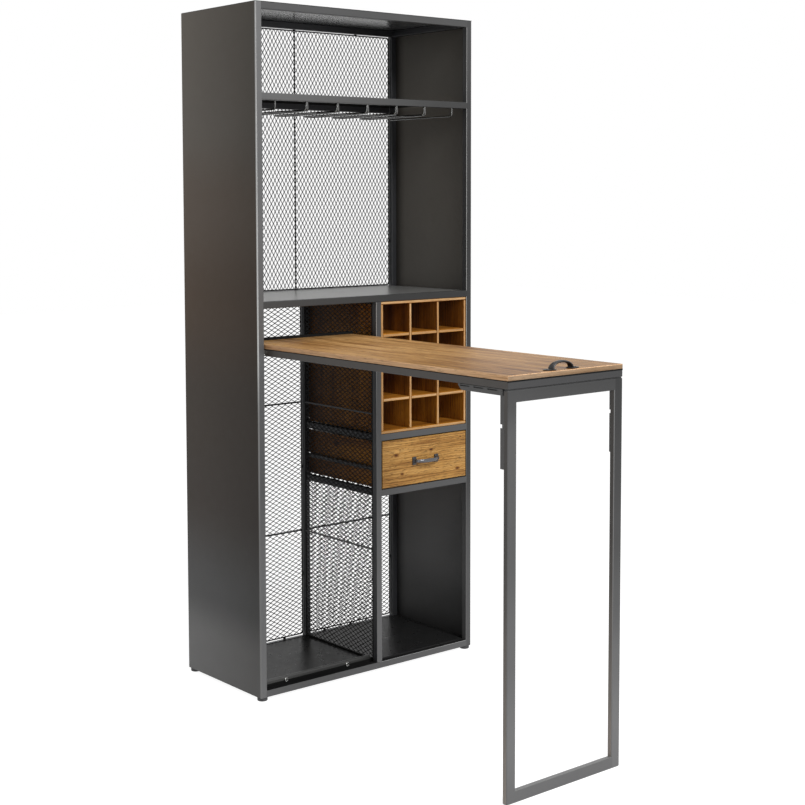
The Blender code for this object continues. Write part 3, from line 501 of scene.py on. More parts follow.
# Lighter copies painted as highlights on the leg's bottom bar and on the corner of its far upright
leg_sill_highlight = steel("leg_sill_highlight", 0.165, 0.4)
leg_highlight_line = steel("leg_highlight_line", 0.12, 0.4)
# Painted light and shade over the height on the front rails, a painted highlight on the bottom rail's arris,
# and painted shade across the shelves' front tubes
rail = steel("rail", falls=RAIL_PAINTED_LIGHT)
sill_highlight = steel("sill_highlight", 0.08, 0.36, 0.3, sweep=(0, 0.025, 0.04, 4.0))
rail_upper = steel("upper_shelf", 0.08, sweep=(0, -0.33, 0.27, 0.3))
rail_mid = steel("mid_shelf", 0.044, metallic=0.1, specular=0.25, sweep=(0, -0.33, 0.1, 0.5))
# A darker copy with painted shade along it for the leaf frame, and a darker copy painted as the shade on
# rear tubes and rungs
leaf_steel = steel("leaf", (0.03, 0.03, 0.031), sweep=(0, -0.3, 0.016, (0.78, 0.78, 0.79)))
shade = steel("rear", (0.03, 0.031, 0.034), 0.45)
# Painted light and shade on faces turned to the left: much lighter towards the bottom, darker towards the
# rear
flank = steel("flank", (0.047, 0.041, 0.036), 0.48, 0.1, FLANK_PAINTED_LIGHT,
              sweep=(1, -0.6, 0.3, (0.56, 0.5, 0.44)))
# Painted light and shade on the left sheet over the height, lighter towards the rear
panel = steel("sheet", (0.0745, 0.0612, 0.048), 0.5, 0.0, LEFT_PAINTED_LIGHT, specular=0.1,
              sweep=(1, 0.32, 0.67, (1.88, 1.9, 1.93)))
# A lighter, glossier copy painted as the highlight on rounded corners
edge = steel("edge", (0.2, 0.2, 0.198), 0.34, 0.45, EDGE_PAINTED_LIGHT)
# Painted light and shade on the right sheet over the height, darker towards the front, and painted shade in
# its rear corner
far_panel = steel("far_sheet", (0.073, 0.067, 0.058), 0.5, 0.0, RIGHT_PAINTED_LIGHT, specular=0.2,
                  sweep=(1, 0.5, 0.32, 0.72), corner=(1, 0.62, 0.676, 0.2))
ceiling = steel("ceiling", STEEL, 0.24, 0.0, grain=0.005, specular=1.0, patch=0.04)
# Near black, painted as the shade on undersides, shadowed tops, gaps and the dark strips
shade_black = steel("shade_black", 0.014, 0.55, 0.0, specular=0.0)
# A lighter copy painted as the reflection on the shelf tops
shelf_reflection = steel("shelf", (0.165, 0.165, 0.16), 0.3, 0.4, grain=0.005, specular=1.0, patch=0.04)
# Painted shade on the floors: the bays dark, the ridge and left bay darker towards the right
ridge = steel("ridge", (0.072, 0.072, 0.07), 0.4, 0.1, sweep=(0, -0.36, 0.0, 0.52))
bay_left_shade = steel("bay_left_shade", (0.03, 0.03, 0.029), 0.3, 0.0, grain=0.01, specular=0.13,
                 sweep=(0, -0.37, -0.02, 0.42))
bay_shade = steel("bay_shade", (0.011, 0.011, 0.0112), 0.3, 0.0, grain=0.01, specular=0.13)
dark = lacquer("dark_steel", (0.04, 0.04, 0.042), metallic=0.3)
clip = lacquer("bracket_steel", (0.062, 0.061, 0.06), metallic=0.25)
brace = lacquer("net_brace", (0.016, 0.016, 0.017), 0.4, 0.0, specular=0.45)
strand = lacquer("net_steel", (0.0045, 0.0042, 0.004), 0.5, 0.0, specular=0.12)
pull_steel = lacquer("pull_steel", (0.034, 0.034, 0.037), 0.3, 0.45)
# A lighter copy painted as the highlight on the pull's bow
pull_bow_highlight = lacquer("pull_bow_steel", (0.105, 0.105, 0.112), 0.24, 0.6)
bronze = lacquer("handle_steel", (0.012, 0.011, 0.011), 0.4)
plated = bright("plated_wire", (0.15, 0.15, 0.147), 0.21, (1.0, 0.05, 1.0))
ring = bright("plated_ring", (0.66, 0.66, 0.64), 0.22)
rubber = moulded("foot_rubber", (0.04, 0.04, 0.042), 0.6)
# Near black, painted as the shade in the grommets' holes and behind the brackets' slots
hollow_shade = moulded("hollow_dark", 0.008, 0.7)

# Oak: pale, middle and dark tone; knots as place along, place across and size
# The cell palette is a darker copy painted as shade, the two edge palettes are lighter copies painted as lit
# faces, and the shady palette is painted for the sides in shade behind the net
OAK = ((0.5, 0.277, 0.085), (0.39, 0.199, 0.05), (0.212, 0.09, 0.018))
SHADED_CELL_OAK = ((0.42, 0.17, 0.018), (0.29, 0.106, 0.009), (0.145, 0.044, 0.004))
SHADY_OAK = ((0.57, 0.24, 0.03), (0.415, 0.16, 0.018), (0.22, 0.072, 0.007))
LIT_EDGE_OAK = ((0.48, 0.296, 0.142), (0.385, 0.212, 0.084), (0.255, 0.118, 0.036))
PALE = ((0.578, 0.336, 0.132), (0.393, 0.203, 0.068), (0.192, 0.081, 0.02))
PALE_END = ((0.28, 0.188, 0.116), (0.216, 0.135, 0.074), (0.126, 0.068, 0.031))
LIT_PALE_EDGE = ((0.76, 0.49, 0.285), (0.64, 0.385, 0.205), (0.42, 0.22, 0.1))
DRAWER_KNOTS = ((0.099, 0.6614, 0.0046), (0.1226, 0.6007, 0.004), (0.3518, 0.5933, 0.0046),
                (0.2415, 0.665, 0.0042), (0.364, 0.693, 0.0022))
SIDE_KNOTS = ((0.8541, 0.4374, 0.0042),)
BOX_KNOTS = ((0.5268, 0.6749, 0.0085),)
# Painted shade: darker towards the rear of the sides, and on the cells under the leaf
REAR_SHADE = (1, 0.34, 0.66, (0.26, 0.22, 0.18))
LEAF_SHADE = (2, 0.81, 0.88, (0.48, 0.42, 0.42))
oak_cell = wood("oak_cell", "z", *SHADED_CELL_OAK, streak=0.7, seed=3.1, painted_fade=LEAF_SHADE)
oak_side = wood("oak_side", "z", *SHADY_OAK, streak=0.6, knots=SIDE_KNOTS, seed=3.7, painted_fade=REAR_SHADE)
oak_deck = wood("oak_deck", "x", *SHADED_CELL_OAK, streak=0.7, seed=7.7)
oak_edge_upright = wood("oak_edge_upright", "z", *LIT_EDGE_OAK, rings=140.0, flecks=0.3, seed=1.3)
oak_edge_deck = wood("oak_edge_deck", "x", *LIT_EDGE_OAK, rings=140.0, flecks=0.3, seed=5.9)
oak_drawer = wood("oak_drawer_front", "x", *OAK, rings=150.0, streak=1.0, flecks=0.72, knots=DRAWER_KNOTS,
                  seed=11.0, fine=1.6)
oak_box = wood("oak_drawer_box", "yz", *SHADY_OAK, streak=0.6, knots=BOX_KNOTS, seed=2.2, painted_fade=REAR_SHADE)
# The leaf's top and edges take painted light and shade as a tint along their length
oak_leaf = wood("oak_leaf", "y", *PALE, rings=70.0, streak=1.2, flecks=0.5, roughness=0.46, seed=4.4,
                fine=0.8, painted_fade=(1, 0.1, -0.58, (0.545, 0.5, 0.42)), bands=150.0)
oak_leaf_edge = wood("oak_leaf_edge", "y", *LIT_PALE_EDGE, rings=160.0, streak=0.6, flecks=0.35, seed=8.8,
                     painted_fade=(1, -0.3, 0.25, (0.82, 0.78, 0.74)))
oak_leaf_end = wood("oak_leaf_end", "x", *PALE_END, rings=260.0, streak=0.7, flecks=0.3, seed=6.1)

# Planes of the cabinet, from the CAD nodes
FRONT = low("side_frame_left").y
BACK = high("side_frame_left").y
FRAME_TOP = high("side_frame_left").z
UPPER_UNDER = low("shelf_upper").z
BOTTOM_RAIL_TOP = high("rail_bottom_front").z
RACK_RAIL_TOP = high("rail_rack_front").z
DRAWER_RAIL_TOP = high("rail_drawer_front").z
FLOOR_TOP = high("floor_right").z
WELD = Vector((TUBE_RADIUS, 0, 0))


def side_frame(name, rungs, look, rules=(), inset=0.0, ledge=False):
    """Front and rear post with rungs welded flush between them."""
    a, b = span(name)
    shape = Shape()
    # The front post takes the given look with painted light, the rules paint a highlight or shade on chosen
    # faces, the rear post and rungs take the darker painted shade, and the rung tops and ledge the black
    # painted shade
    bar(shape, (a.x, FRONT, a.z), (b.x, FRONT + TUBE, b.z), along="z")
    by_side(shape, 0, rules)
    bar(shape, (a.x, BACK - TUBE, a.z), (b.x, BACK, b.z), along="z", slot=1)
    first = len(shape.faces)
    for top in rungs:
        bar(shape, (a.x + inset, FRONT + TUBE - TUBE_RADIUS, top - TUBE),
            (b.x, BACK - TUBE + TUBE_RADIUS, top), along="y", slot=1)
    by_side(shape, first, [(UP, 2)])
    if ledge:
        bar(shape, (b.x - TUBE_RADIUS, FRONT + TUBE, rungs[-1] - LEDGE_HEIGHT),
            (b.x + LEDGE_WIDTH, BACK - TUBE, rungs[-1]), FINE_EASE, "y", 1, 2)
    publish(name + "_tubes", shape, [look, shade, shade_black, edge], "cabinet", [name])


side_frame("side_frame_left", (BOTTOM_RAIL_TOP, FRAME_TOP), post)
side_frame("side_frame_right", (BOTTOM_RAIL_TOP, DRAWER_RAIL_TOP, RACK_RAIL_TOP, FRAME_TOP), far_post_shade,
           [(LEFT_CORNER, 3)])
side_frame("divider_frame", (DRAWER_RAIL_TOP, RACK_RAIL_TOP), divider_post,
           [(LEFT_CORNER, 3), (LEFTWARD, 1)], RUNG_INSET, ledge=True)

for name in ("rail_top_front", "rail_top_rear", "rail_bottom_front", "rail_bottom_rear",
             "rail_rack_front", "rail_drawer_front"):
    shape = Shape()
    bar(shape, low(name) - WELD, high(name) + WELD, along="x")
    # The bottom rail's front arris takes a painted highlight and its top the black painted shade; the rear
    # rails take painted shade
    if name == "rail_bottom_front":
        by_side(shape, 0, [(FRONT_ARRIS, 1), (UP, 2)])
    publish(name + "_tube", shape, [shade if "rear" in name else rail, sill_highlight, shade_black], "cabinet", [name])

for name, look in (("shelf_upper", rail_upper), ("shelf_mid", rail_mid)):
    shape = Shape()
    a, b = low(name) - WELD, high(name) + WELD
    # The front tube takes painted light and shade across the width, the rear tube painted shade, the sheet's
    # top a lighter copy painted as reflection, and the undersides black painted shade
    bar(shape, a, (b.x, a.y + TUBE, b.z), along="x")
    bar(shape, (a.x, b.y - TUBE, a.z), b, along="x", slot=2)
    first = len(shape.faces)
    level = b.z - SHELF_DROP
    bar(shape, (a.x + TUBE_RADIUS, a.y + TUBE - SHELF_LAP, level - SHELF_SHEET),
        (b.x - TUBE_RADIUS, b.y - TUBE + SHELF_LAP, level), SHEET_EASE, "x", 2, 1)
    by_side(shape, first, [(-UP, 3)])
    publish(name + "_welded", shape, [look, shelf_reflection, shade, shade_black], "cabinet", [name])

# Outer sheets, whose front edge is rolled round the post and carries a painted highlight


def rolled_side(name, side, look):
    a, b = span(name)
    outer = a.x if side > 0 else b.x
    x, y = outer + side * WRAP_RADIUS, FRONT + WRAP_RADIUS
    turns = [math.pi / 2 * k / WRAP_STEPS for k in range(WRAP_STEPS + 1)]
    arc = [(math.cos(angle), math.sin(angle)) for angle in turns]
    thin = WRAP_RADIUS - SHEET
    outline = [(outer, BACK), *((x - side * WRAP_RADIUS * c, y - WRAP_RADIUS * s) for c, s in arc),
               *((x - side * thin * c, y - thin * s) for c, s in reversed(arc)),
               (outer + side * SHEET, BACK)]
    shape = Shape()
    prism(shape, outline, "z", a.z, b.z)
    # The roll's faces take the painted highlight
    for k, points, _ in shape.faces_from():
        if len(points) == 4 and max(p.y for p in points) < y + HAIR:
            shape.slots[k] = 1
    publish(name + "_sheet", shape, [look, edge], "cabinet", [name], crease=30)


rolled_side("side_panel_left", 1, panel)
rolled_side("side_panel_right", -1, far_panel)
shape = Shape()
bar(shape, *span("top_panel"), TRIM_EASE, None, 2)
by_side(shape, 0, [(-UP, 1)])
publish("top_panel_sheet", shape, [rail, ceiling], "cabinet", ["top_panel"])

# Floors: the left one rises in front to a hollow ridge over soft bends, the right one is folded down; both
# are painted dark as shade, with painted shade along the ridge and black painted shade on the low front
# face, the rear strip and the right floor's sides
RIDGE_WIDTH = 0.012
RIDGE_SHADE = 0.0345
REAR_LIP = 0.006
REAR_LIP_SHADE = 0.007
OUTER_BEND = FOLD_RADIUS
INNER_BEND = FOLD_RADIUS - SHELF_SHEET


def bent(corners, radii, steps=5):
    """An outline in Y and Z with rounded corners; a radius of 0 keeps a corner."""
    points = []
    for k, (corner, radius) in enumerate(zip(corners, radii)):
        if not radius:
            points.append(corner)
            continue
        run = [Vector((0, *c)) for c in (corners[k - 1], corner, corners[(k + 1) % len(corners)])]
        points += [(point.y, point.z) for point in rounded(run, [radius], steps)[1:-1]]
    return points


a, b = span("floor_left")
fold = a.y + RIDGE_WIDTH
corners = [(a.y, a.z), (a.y + SHELF_SHEET, a.z), (a.y + SHELF_SHEET, b.z - SHELF_SHEET),
           (fold - SHELF_SHEET, b.z - SHELF_SHEET), (fold - SHELF_SHEET, FLOOR_TOP - SHELF_SHEET),
           (b.y, FLOOR_TOP - SHELF_SHEET), (b.y, FLOOR_TOP), (b.y - REAR_LIP, FLOOR_TOP),
           (fold, FLOOR_TOP), (fold, b.z), (a.y, b.z), (a.y, RIDGE_SHADE)]
radii = [0, 0, INNER_BEND, INNER_BEND, OUTER_BEND, 0, 0, 0, INNER_BEND, OUTER_BEND, OUTER_BEND, 0]
shape = Shape()
prism(shape, bent(corners, radii), "x", a.x, b.x)
# The ridge's faces take painted shade along it; the lower front face and a strip at the rear lip take the
# black painted shade
for k, points, _ in shape.faces_from():
    nearest, farthest = min(p.y for p in points), max(p.y for p in points)
    if len(points) != 4:
        continue
    if farthest < fold + 2 * HAIR and min(p.z for p in points) > FLOOR_TOP - FOLD_RADIUS:
        shape.slots[k] = 1
    elif farthest < a.y + 2 * HAIR or nearest > b.y - REAR_LIP_SHADE:
        shape.slots[k] = 2
publish("floor_left_sheet", shape, [bay_left_shade, ridge, shade_black], "cabinet", ["floor_left"],
        crease=30)
a, b = span("floor_right")
corners = [(b.y, b.z), (b.y, b.z - SHELF_SHEET), (a.y + SHELF_SHEET, b.z - SHELF_SHEET),
           (a.y + SHELF_SHEET, a.z), (a.y, a.z), (a.y, b.z)]
shape = Shape()
radii = [0, 0, INNER_BEND, 0, 0, OUTER_BEND]
prism(shape, bent(corners, radii), "x", a.x + SHELF_SHEET, b.x - SHELF_SHEET)
for x0, x1 in ((a.x, a.x + SHELF_SHEET), (b.x - SHELF_SHEET, b.x)):
    bar(shape, (x0, a.y, a.z), (x1, b.y, b.z - SHEET_EASE), SHEET_EASE, "y", 1, 1)
publish("floor_right_sheet", shape, [bay_shade, shade_black], "cabinet", ["floor_right"], crease=30)

# Turned pieces, as shares of their radius and length
BUMPER_RING = ((1, 0), (1, 0.45), (0.96, 0.75), (0.86, 0.95), (0.74, 1), (0.62, 0.93), (0.56, 0.7),
               (0.54, 0.3), (0.1, 0.28))
BUMPER_CORE = ((0.53, 0.28), (0.5, 0.42), (0.3, 0.48), (0.05, 0.5))
FOOT = ((0.9, 0), (0.97, 0.07), (1, 0.18), (1, 0.8), (0.98, 0.86), (0.93, 0.9), (0.92, 1))
for name in ("bumper_left", "bumper_right"):
    a, b = span(name)
    centre = ((a.x + b.x) / 2, b.y, (a.z + b.z) / 2)
    size = ((b.z - a.z) / 2, b.y - a.y)
    shape = Shape()
    turned(shape, BUMPER_RING, centre, FORWARD, 28, 0, size)
    # The dark core is painted shade in the grommet's hole
    turned(shape, BUMPER_CORE, centre, FORWARD, 28, 1, size)
    publish(name + "_grommet", shape, [ring, hollow_shade], "cabinet", [name])

for name in ("foot_front_left", "foot_front_right", "foot_rear_left", "foot_rear_right"):
    a, b = span(name)
    shape = Shape()
    turned(shape, FOOT, ((a.x + b.x) / 2, (a.y + b.y) / 2, 0), UP, 36, 0, ((b.x - a.x) / 2, b.z))
    publish(name + "_glide", shape, [rubber], "cabinet", [name])

# Expanded metal
NET_STRAND = (0.0022, 0.0008)
NET_TILT = 0.0001
NET_BOND = 0.35
NET_WIRE = 0.0021
NET_BRACE = 0.0028
NET_BEND = 0.008
NET_INSET = 0.0037
NET_SIDE_INSET = 0.0024
NET_LIFT = 0.0068
NET_UPRIGHT = (0.0143, 0.0248)
NET_LYING = (0.0252, 0.0143)
BRACE_HEIGHTS = (0.3775, 0.795)
TAB_HALF = 0.005
TAB_THICK = 0.001
TAB_SHARES = (0.18, 0.5, 0.82)
SHOE_HALF = 0.0018
SHOE_INSET = 0.003
SHOE_HEIGHT = 0.0058


def net(to_space, u_range, v_range, w_range, pitch, upright, braces, inset=NET_INSET, lift=NET_INSET,
        shift=0):
    """Zigzag strands bonded at their tips, in a border of round wire held by small tabs."""
    shape = Shape()
    u0, u1 = u_range[0] + inset, u_range[1] - inset
    v0, v1 = v_range[0] + lift, v_range[1] - NET_INSET
    w = sum(w_range) / 2
    courses = [(u0, u1, pitch[0]), (v0, v1, pitch[1])]
    (a0, a1, pitch_a), (b0, b1, pitch_b) = courses[::-1 if upright else 1]
    count_a = 2 * round((a1 - a0) / pitch_a)
    count_b = 2 * round((b1 - b0) / pitch_b)
    step_a = (a1 - a0) / count_a
    step_b = (b1 - b0) / count_b
    half = NET_STRAND[0] / 2 * math.hypot(step_a, step_b) / step_a
    thick = NET_STRAND[1] / 2

    def point(a, b, c):
        return to_space(b, a, c) if upright else to_space(a, b, c)

    for row in range(count_b):
        middle = b0 + (row + 0.5) * step_b
        verts = []
        for k in range(count_a + 1):
            a = a0 + k * step_a
            b = middle + (step_b / 2 - half * NET_BOND) * (1 if (k + row + shift) % 2 == 0 else -1)
            verts += [point(a, b - half, w - NET_TILT - thick), point(a, b - half, w - NET_TILT + thick),
                      point(a, b + half, w + NET_TILT + thick), point(a, b + half, w + NET_TILT - thick)]
        lattice(shape, verts, 4)

    outward = to_space(0, 0, 1)
    corners = [((u0 + u1) / 2, v0), (u1, v0), (u1, v1), (u0, v1), (u0, v0), ((u0 + u1) / 2, v0)]
    path = rounded([(u, v, 0) for u, v in corners], [NET_BEND] * 4, 5)[:-1]
    wire(shape, [to_space(p.x, p.y, w) for p in path], (NET_WIRE, NET_WIRE), outward, 10, 0, True)
    radius = NET_WIRE if upright else NET_BRACE
    for level in braces:
        ends = ((level, v0), (level, v1)) if upright else ((u0, level), (u1, level))
        wire(shape, [to_space(u, v, w) for u, v in ends], (radius, radius), outward, 12, 1)
    spots = []
    for share in TAB_SHARES:
        along = u0 + share * (u1 - u0)
        level = v0 + share * (v1 - v0)
        spots += [((along - TAB_HALF, v_range[0]), (along + TAB_HALF, v0)),
                  ((along - TAB_HALF, v1), (along + TAB_HALF, v_range[1])),
                  ((u_range[0], level - TAB_HALF), (u0, level + TAB_HALF)),
                  ((u1, level - TAB_HALF), (u_range[1], level + TAB_HALF))]
    for first, last in spots:
        pair = [to_space(*first, w - TAB_THICK), to_space(*last, w + TAB_THICK)]
        start, end = ([pick(c) for c in zip(*pair)] for pick in (min, max))
        bar(shape, start, end, SHEET_EASE, None, 1)
    return shape


def front_plane(u, v, w):
    return u, w, v


def side_plane(u, v, w):
    return w, u, v


for name, upright in (("net_back_upper", True), ("net_back_left", False), ("net_back_right", False)):
    a, b = span(name)
    braces = [(a.x + b.x) / 2] if upright else BRACE_HEIGHTS
    shape = net(front_plane, (a.x, b.x), (a.z, b.z), (a.y, b.y), NET_UPRIGHT if upright else NET_LYING,
                upright, braces, lift=NET_WIRE + GAP / 2 if upright else NET_LIFT,
                shift=int(name == "net_back_right"))
    publish(name + "_mesh", shape, [strand, strand if upright else brace], "cabinet", [name],
            crease=50)
a, b = span("net_divider")
shape = net(side_plane, (a.y, b.y), (a.z, b.z), (a.x, b.x), NET_LYING, False, BRACE_HEIGHTS, NET_SIDE_INSET)
x = (a.x + b.x) / 2
bar(shape, (x - SHOE_HALF, a.y + SHOE_INSET, a.z), (x + SHOE_HALF, b.y - SHOE_INSET, a.z + SHOE_HEIGHT),
    TRIM_EASE, "y", 1)
publish("net_divider_mesh", shape, [strand, brace], "cabinet", ["net_divider"],
        crease=50)

# Wire rail under the upper shelf: an end wire on each side, and hairpins that flare to the rear
WIRE_COUNT = 7
WIRE_RADIUS = 0.0025
WIRE_SUNK = 0.001
WIRE_BEND = 0.01
FLARE_BEND = 0.02
FLARE_LENGTH = 0.07
HAIRPIN_HEAD = 0.0014
HAIRPIN_MOUTH = 0.0035
for k in range(WIRE_COUNT):
    name = "stem_wire_%d" % (k + 1)
    a, b = span(name)
    x = (a.x + b.x) / 2
    top = UPPER_UNDER + WIRE_SUNK
    front, rear, level = a.y + WIRE_RADIUS, b.y - WIRE_RADIUS, a.z + WIRE_RADIUS
    if k in (0, WIRE_COUNT - 1):
        corners = [(x, front, top), (x, front, level), (x, rear, level), (x, rear, b.z)]
        radii = [WIRE_BEND, WIRE_BEND]
    else:
        far = (b.x - a.x) / 2 - WIRE_RADIUS
        half = [(HAIRPIN_HEAD, front, top), (HAIRPIN_MOUTH, front, level),
                (far, front + FLARE_LENGTH, level), (far, rear, level)]
        corners = [(x - p, q, r) for p, q, r in half] + [(x + p, q, r) for p, q, r in reversed(half)]
        radii = [WIRE_BEND, FLARE_BEND, far - GAP, far - GAP, FLARE_BEND, WIRE_BEND]
    shape = Shape()
    wire(shape, rounded(corners, radii, 10), (WIRE_RADIUS, WIRE_RADIUS), (0, 1, 0), 14)
    publish(name + "_bent", shape, [plated], "cabinet", [name], crease=60)

# Rack of lapped boards, whose front edges are painted lighter as lit faces and whose cells are painted
# darker as shade
RACK_PLAY = 0.0002
RACK_LAP = 0.004


def board(shape, start, end, front_edge=True):
    """A board with eased edges; its front face takes the second material."""
    first = len(shape.faces)
    bar(shape, start, end, WOOD_EASE, None, 2)
    if front_edge:
        by_side(shape, first, [(FORWARD, 1)], SQUARE_ON)


def between(start, end, crossing, axis):
    """The stretches of a board between the boards that cross it."""
    starts = [start] + [b[axis] + RACK_PLAY for _, b in crossing.values()]
    ends = [a[axis] - RACK_PLAY for a, _ in crossing.values()] + [end]
    return zip(starts, ends)


DECK_LOOKS = [oak_deck, oak_edge_deck]
UPRIGHT_LOOKS = [oak_cell, oak_edge_upright]
for name, looks in (("rack_bottom", DECK_LOOKS), ("rack_top", DECK_LOOKS),
                    ("rack_side_left", [oak_side, oak_edge_upright]), ("rack_side_right", UPRIGHT_LOOKS)):
    shape = Shape()
    board(shape, *span(name))
    publish(name + "_board", shape, looks, "cabinet", [name])

uprights = {name: span(name) for name in ("rack_upright_1", "rack_upright_2")}
decks = {name: span(name) for name in ("rack_deck_1", "rack_deck_2", "rack_deck_3")}
for name, (a, b) in uprights.items():
    shape = Shape()
    half = (a.y + b.y) / 2
    board(shape, a, (b.x, half, b.z))
    for z0, z1 in between(a.z, b.z, decks, 2):
        board(shape, (a.x, half - RACK_LAP, z0), (b.x, b.y, z1), False)
    publish(name + "_board", shape, UPRIGHT_LOOKS, "cabinet", [name])
for name, (a, b) in decks.items():
    shape = Shape()
    half = (a.y + b.y) / 2
    board(shape, (a.x, half, a.z), b, False)
    for x0, x1 in between(a.x, b.x, uprights, 0):
        board(shape, (x0, a.y, a.z), (x1, half + RACK_LAP, b.z))
    publish(name + "_board", shape, DECK_LOOKS, "cabinet", [name])

# Drawer
shape = Shape()
bar(shape, *span("drawer_front"), WOOD_EASE)
publish("drawer_front_board", shape, [oak_drawer], "drawer", ["drawer_front"])
SIDE_DROP = 0.0036
SIDE_TAIL = 0.003
GROOVE_HALF = 0.0058
GROOVE_DEPTH = 0.0046
RUNNER_Z = (low("runner_left").z + high("runner_left").z) / 2
GROOVE_LOW, GROOVE_HIGH = RUNNER_Z - GROOVE_HALF, RUNNER_Z + GROOVE_HALF
for name, way in (("drawer_side_left", 1), ("drawer_side_right", -1)):
    a, b = span(name)
    outer, inner = (a.x, b.x) if way > 0 else (b.x, a.x)
    depth = outer + way * GROOVE_DEPTH
    bottom = a.z - SIDE_DROP
    outline = [(inner, bottom), (inner, b.z), (outer, b.z), (outer, GROOVE_HIGH), (depth, GROOVE_HIGH),
               (depth, GROOVE_LOW), (outer, GROOVE_LOW), (outer, bottom)]
    shape = Shape()
    prism(shape, outline, "y", a.y, b.y + SIDE_TAIL, GROOVE_EASE)
    publish(name + "_board", shape, [oak_box], "drawer", [name])
for name, look in (("drawer_back", oak_deck), ("drawer_bottom", oak_deck), ("runner_left", dark),
                   ("runner_right", dark)):
    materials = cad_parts[name].data.materials
    materials.clear()
    materials.append(look)

# Pull: two pyramid feet on plates, as share of width, share of height and depth, and a swelling bow
PULL_WIDTH = 0.016
PULL_HEIGHT = 0.025
PULL_PLATE = 0.0022
PULL_FOOT = ((1.0, 0.96, 0.002), (0.8, 0.72, 0.0046), (0.52, 0.72, 0.0085), (0.4, 0.72, 0.0125))
PULL_FOOT_TRIM = 0.94
PULL_FOOT_EASE = 0.0007
BOW_STEPS = 32
BOW_TIP = 0.0035
BOW_ROOT = 0.006
BOW_POWER = 3.2
BOW_SECTION = ((0.003, 0.0008), (0.0044, 0.0016))
a, b = span("drawer_pull")
face = b.y
centre = (a.x + b.x) / 2
level = (a.z + b.z) / 2
reach = (b.x - a.x) / 2 - PULL_WIDTH / 2
shape = Shape()
for side in (-1, 1):
    x = centre + side * reach
    plate = quad(x, level, PULL_WIDTH / 2, PULL_HEIGHT / 2)
    prism(shape, plate, "y", face - PULL_PLATE, face, GROOVE_EASE)
    mesh = bmesh.new()
    rings = []
    for spread, height, depth in PULL_FOOT:
        wide = PULL_WIDTH / 2 * spread * PULL_FOOT_TRIM
        tall = PULL_HEIGHT / 2 * spread * height
        rings.append([mesh.verts.new((p, face - depth, q)) for p, q in quad(x, level, wide, tall)])
    skin(mesh, rings)
    ease(mesh, list(mesh.edges), PULL_FOOT_EASE)
    shape.take(mesh)
bow = face - a.y - BOW_TIP
path, sizes = [], []
for k in range(BOW_STEPS + 1):
    t = k / BOW_STEPS * 2 - 1
    depth = BOW_ROOT + (bow - BOW_ROOT) * (1 - abs(t) ** BOW_POWER)
    path.append(Vector((centre + reach * t, face - depth, level)))
    sizes.append(tuple(size + swell * (1 - abs(t) ** 2) for size, swell in BOW_SECTION))
# The bow takes a lighter copy of the pull steel as a painted highlight
wire(shape, path, sizes, UP, 16, 1)
publish("drawer_pull_bow", shape, [pull_steel, pull_bow_highlight], "drawer", ["drawer_pull"])

# Table leaf: its long edges are pale edge banding painted lighter still against their shade, its front arris
# carries a painted highlight, and its ends show end grain
SIDE_LEAN = 0.7
ARRIS_LEAN = 0.2
a, b = span("leaf_board")
shape = Shape()
bar(shape, a, b, LEAF_EASE)
for k, _, normal in shape.faces_from():
    if abs(normal.x) > SIDE_LEAN or (normal.y < -ARRIS_LEAN and normal.z > ARRIS_LEAN):
        shape.slots[k] = 1
    elif abs(normal.y) > SIDE_LEAN:
        shape.slots[k] = 2
publish("leaf_board_top", shape, [oak_leaf, oak_leaf_edge, oak_leaf_end], "leaf", ["leaf_board"])

# Frame of the leaf, with painted light and shade on its left faces, a dark slab in the gap under the board
# painted as its shade, and a dark strip along its rear edge painted as shade
GAP_SHADE_INSET = 0.0002
GAP_SHADE_LOW = 0.0031
GAP_SHADE_HIGH = 0.0004
STRIP_SIDE = 0.0005
STRIP_FRONT = 0.011
STRIP_REAR = 0.001
STRIP_SUNK = 0.001
STRIP_HEIGHT = 0.008
a, b = span("leaf_frame")
under_board, top = low("leaf_board").z, high("leaf_board").z
shape = Shape()
for x in (a.x, b.x - TUBE):
    bar(shape, (x, a.y, a.z), (x + TUBE, b.y, b.z))
for y in (a.y, b.y - TUBE):
    bar(shape, (a.x + TUBE - TUBE_RADIUS, y, a.z), (b.x - TUBE + TUBE_RADIUS, y + TUBE, b.z), along="x")
by_side(shape, 0, [(LEFTWARD, 1)])
bar(shape, (a.x + GAP_SHADE_INSET, a.y - GAP_SHADE_INSET, b.z - GAP_SHADE_LOW),
    (b.x - GAP_SHADE_INSET, b.y + GAP_SHADE_INSET, under_board + GAP_SHADE_HIGH), HAIR, "x", 1, 2)
bar(shape, (a.x + STRIP_SIDE, b.y - STRIP_FRONT, top - STRIP_SUNK),
    (b.x - STRIP_SIDE, b.y - STRIP_REAR, top + STRIP_HEIGHT), STRIP_EASE, "x", 2, 2)
publish("leaf_frame_tubes", shape, [leaf_steel, flank, shade_black], "leaf", ["leaf_frame"])

# Pins that the leaf turns on: a washer, as shares of its radius and width, and a shank
WASHER = ((0.92, 0), (1, 0.12), (1, 0.88), (0.92, 1))
WASHER_WIDTH = 0.0049
SHANK_RADIUS = 0.004
for name, side in (("pivot_pin_left", 1), ("pivot_pin_right", -1)):
    a, b = span(name)
    outer = a.x if side == 1 else b.x
    profile = [((b.z - a.z) / 2 * r, WASHER_WIDTH * w) for r, w in WASHER]
    profile += [(SHANK_RADIUS, WASHER_WIDTH), (SHANK_RADIUS, b.x - a.x)]
    shape = Shape()
    turned(shape, profile, (outer, (a.y + b.y) / 2, (a.z + b.z) / 2), (side, 0, 0))
    publish(name + "_washer", shape, [ring], "cabinet", [name])

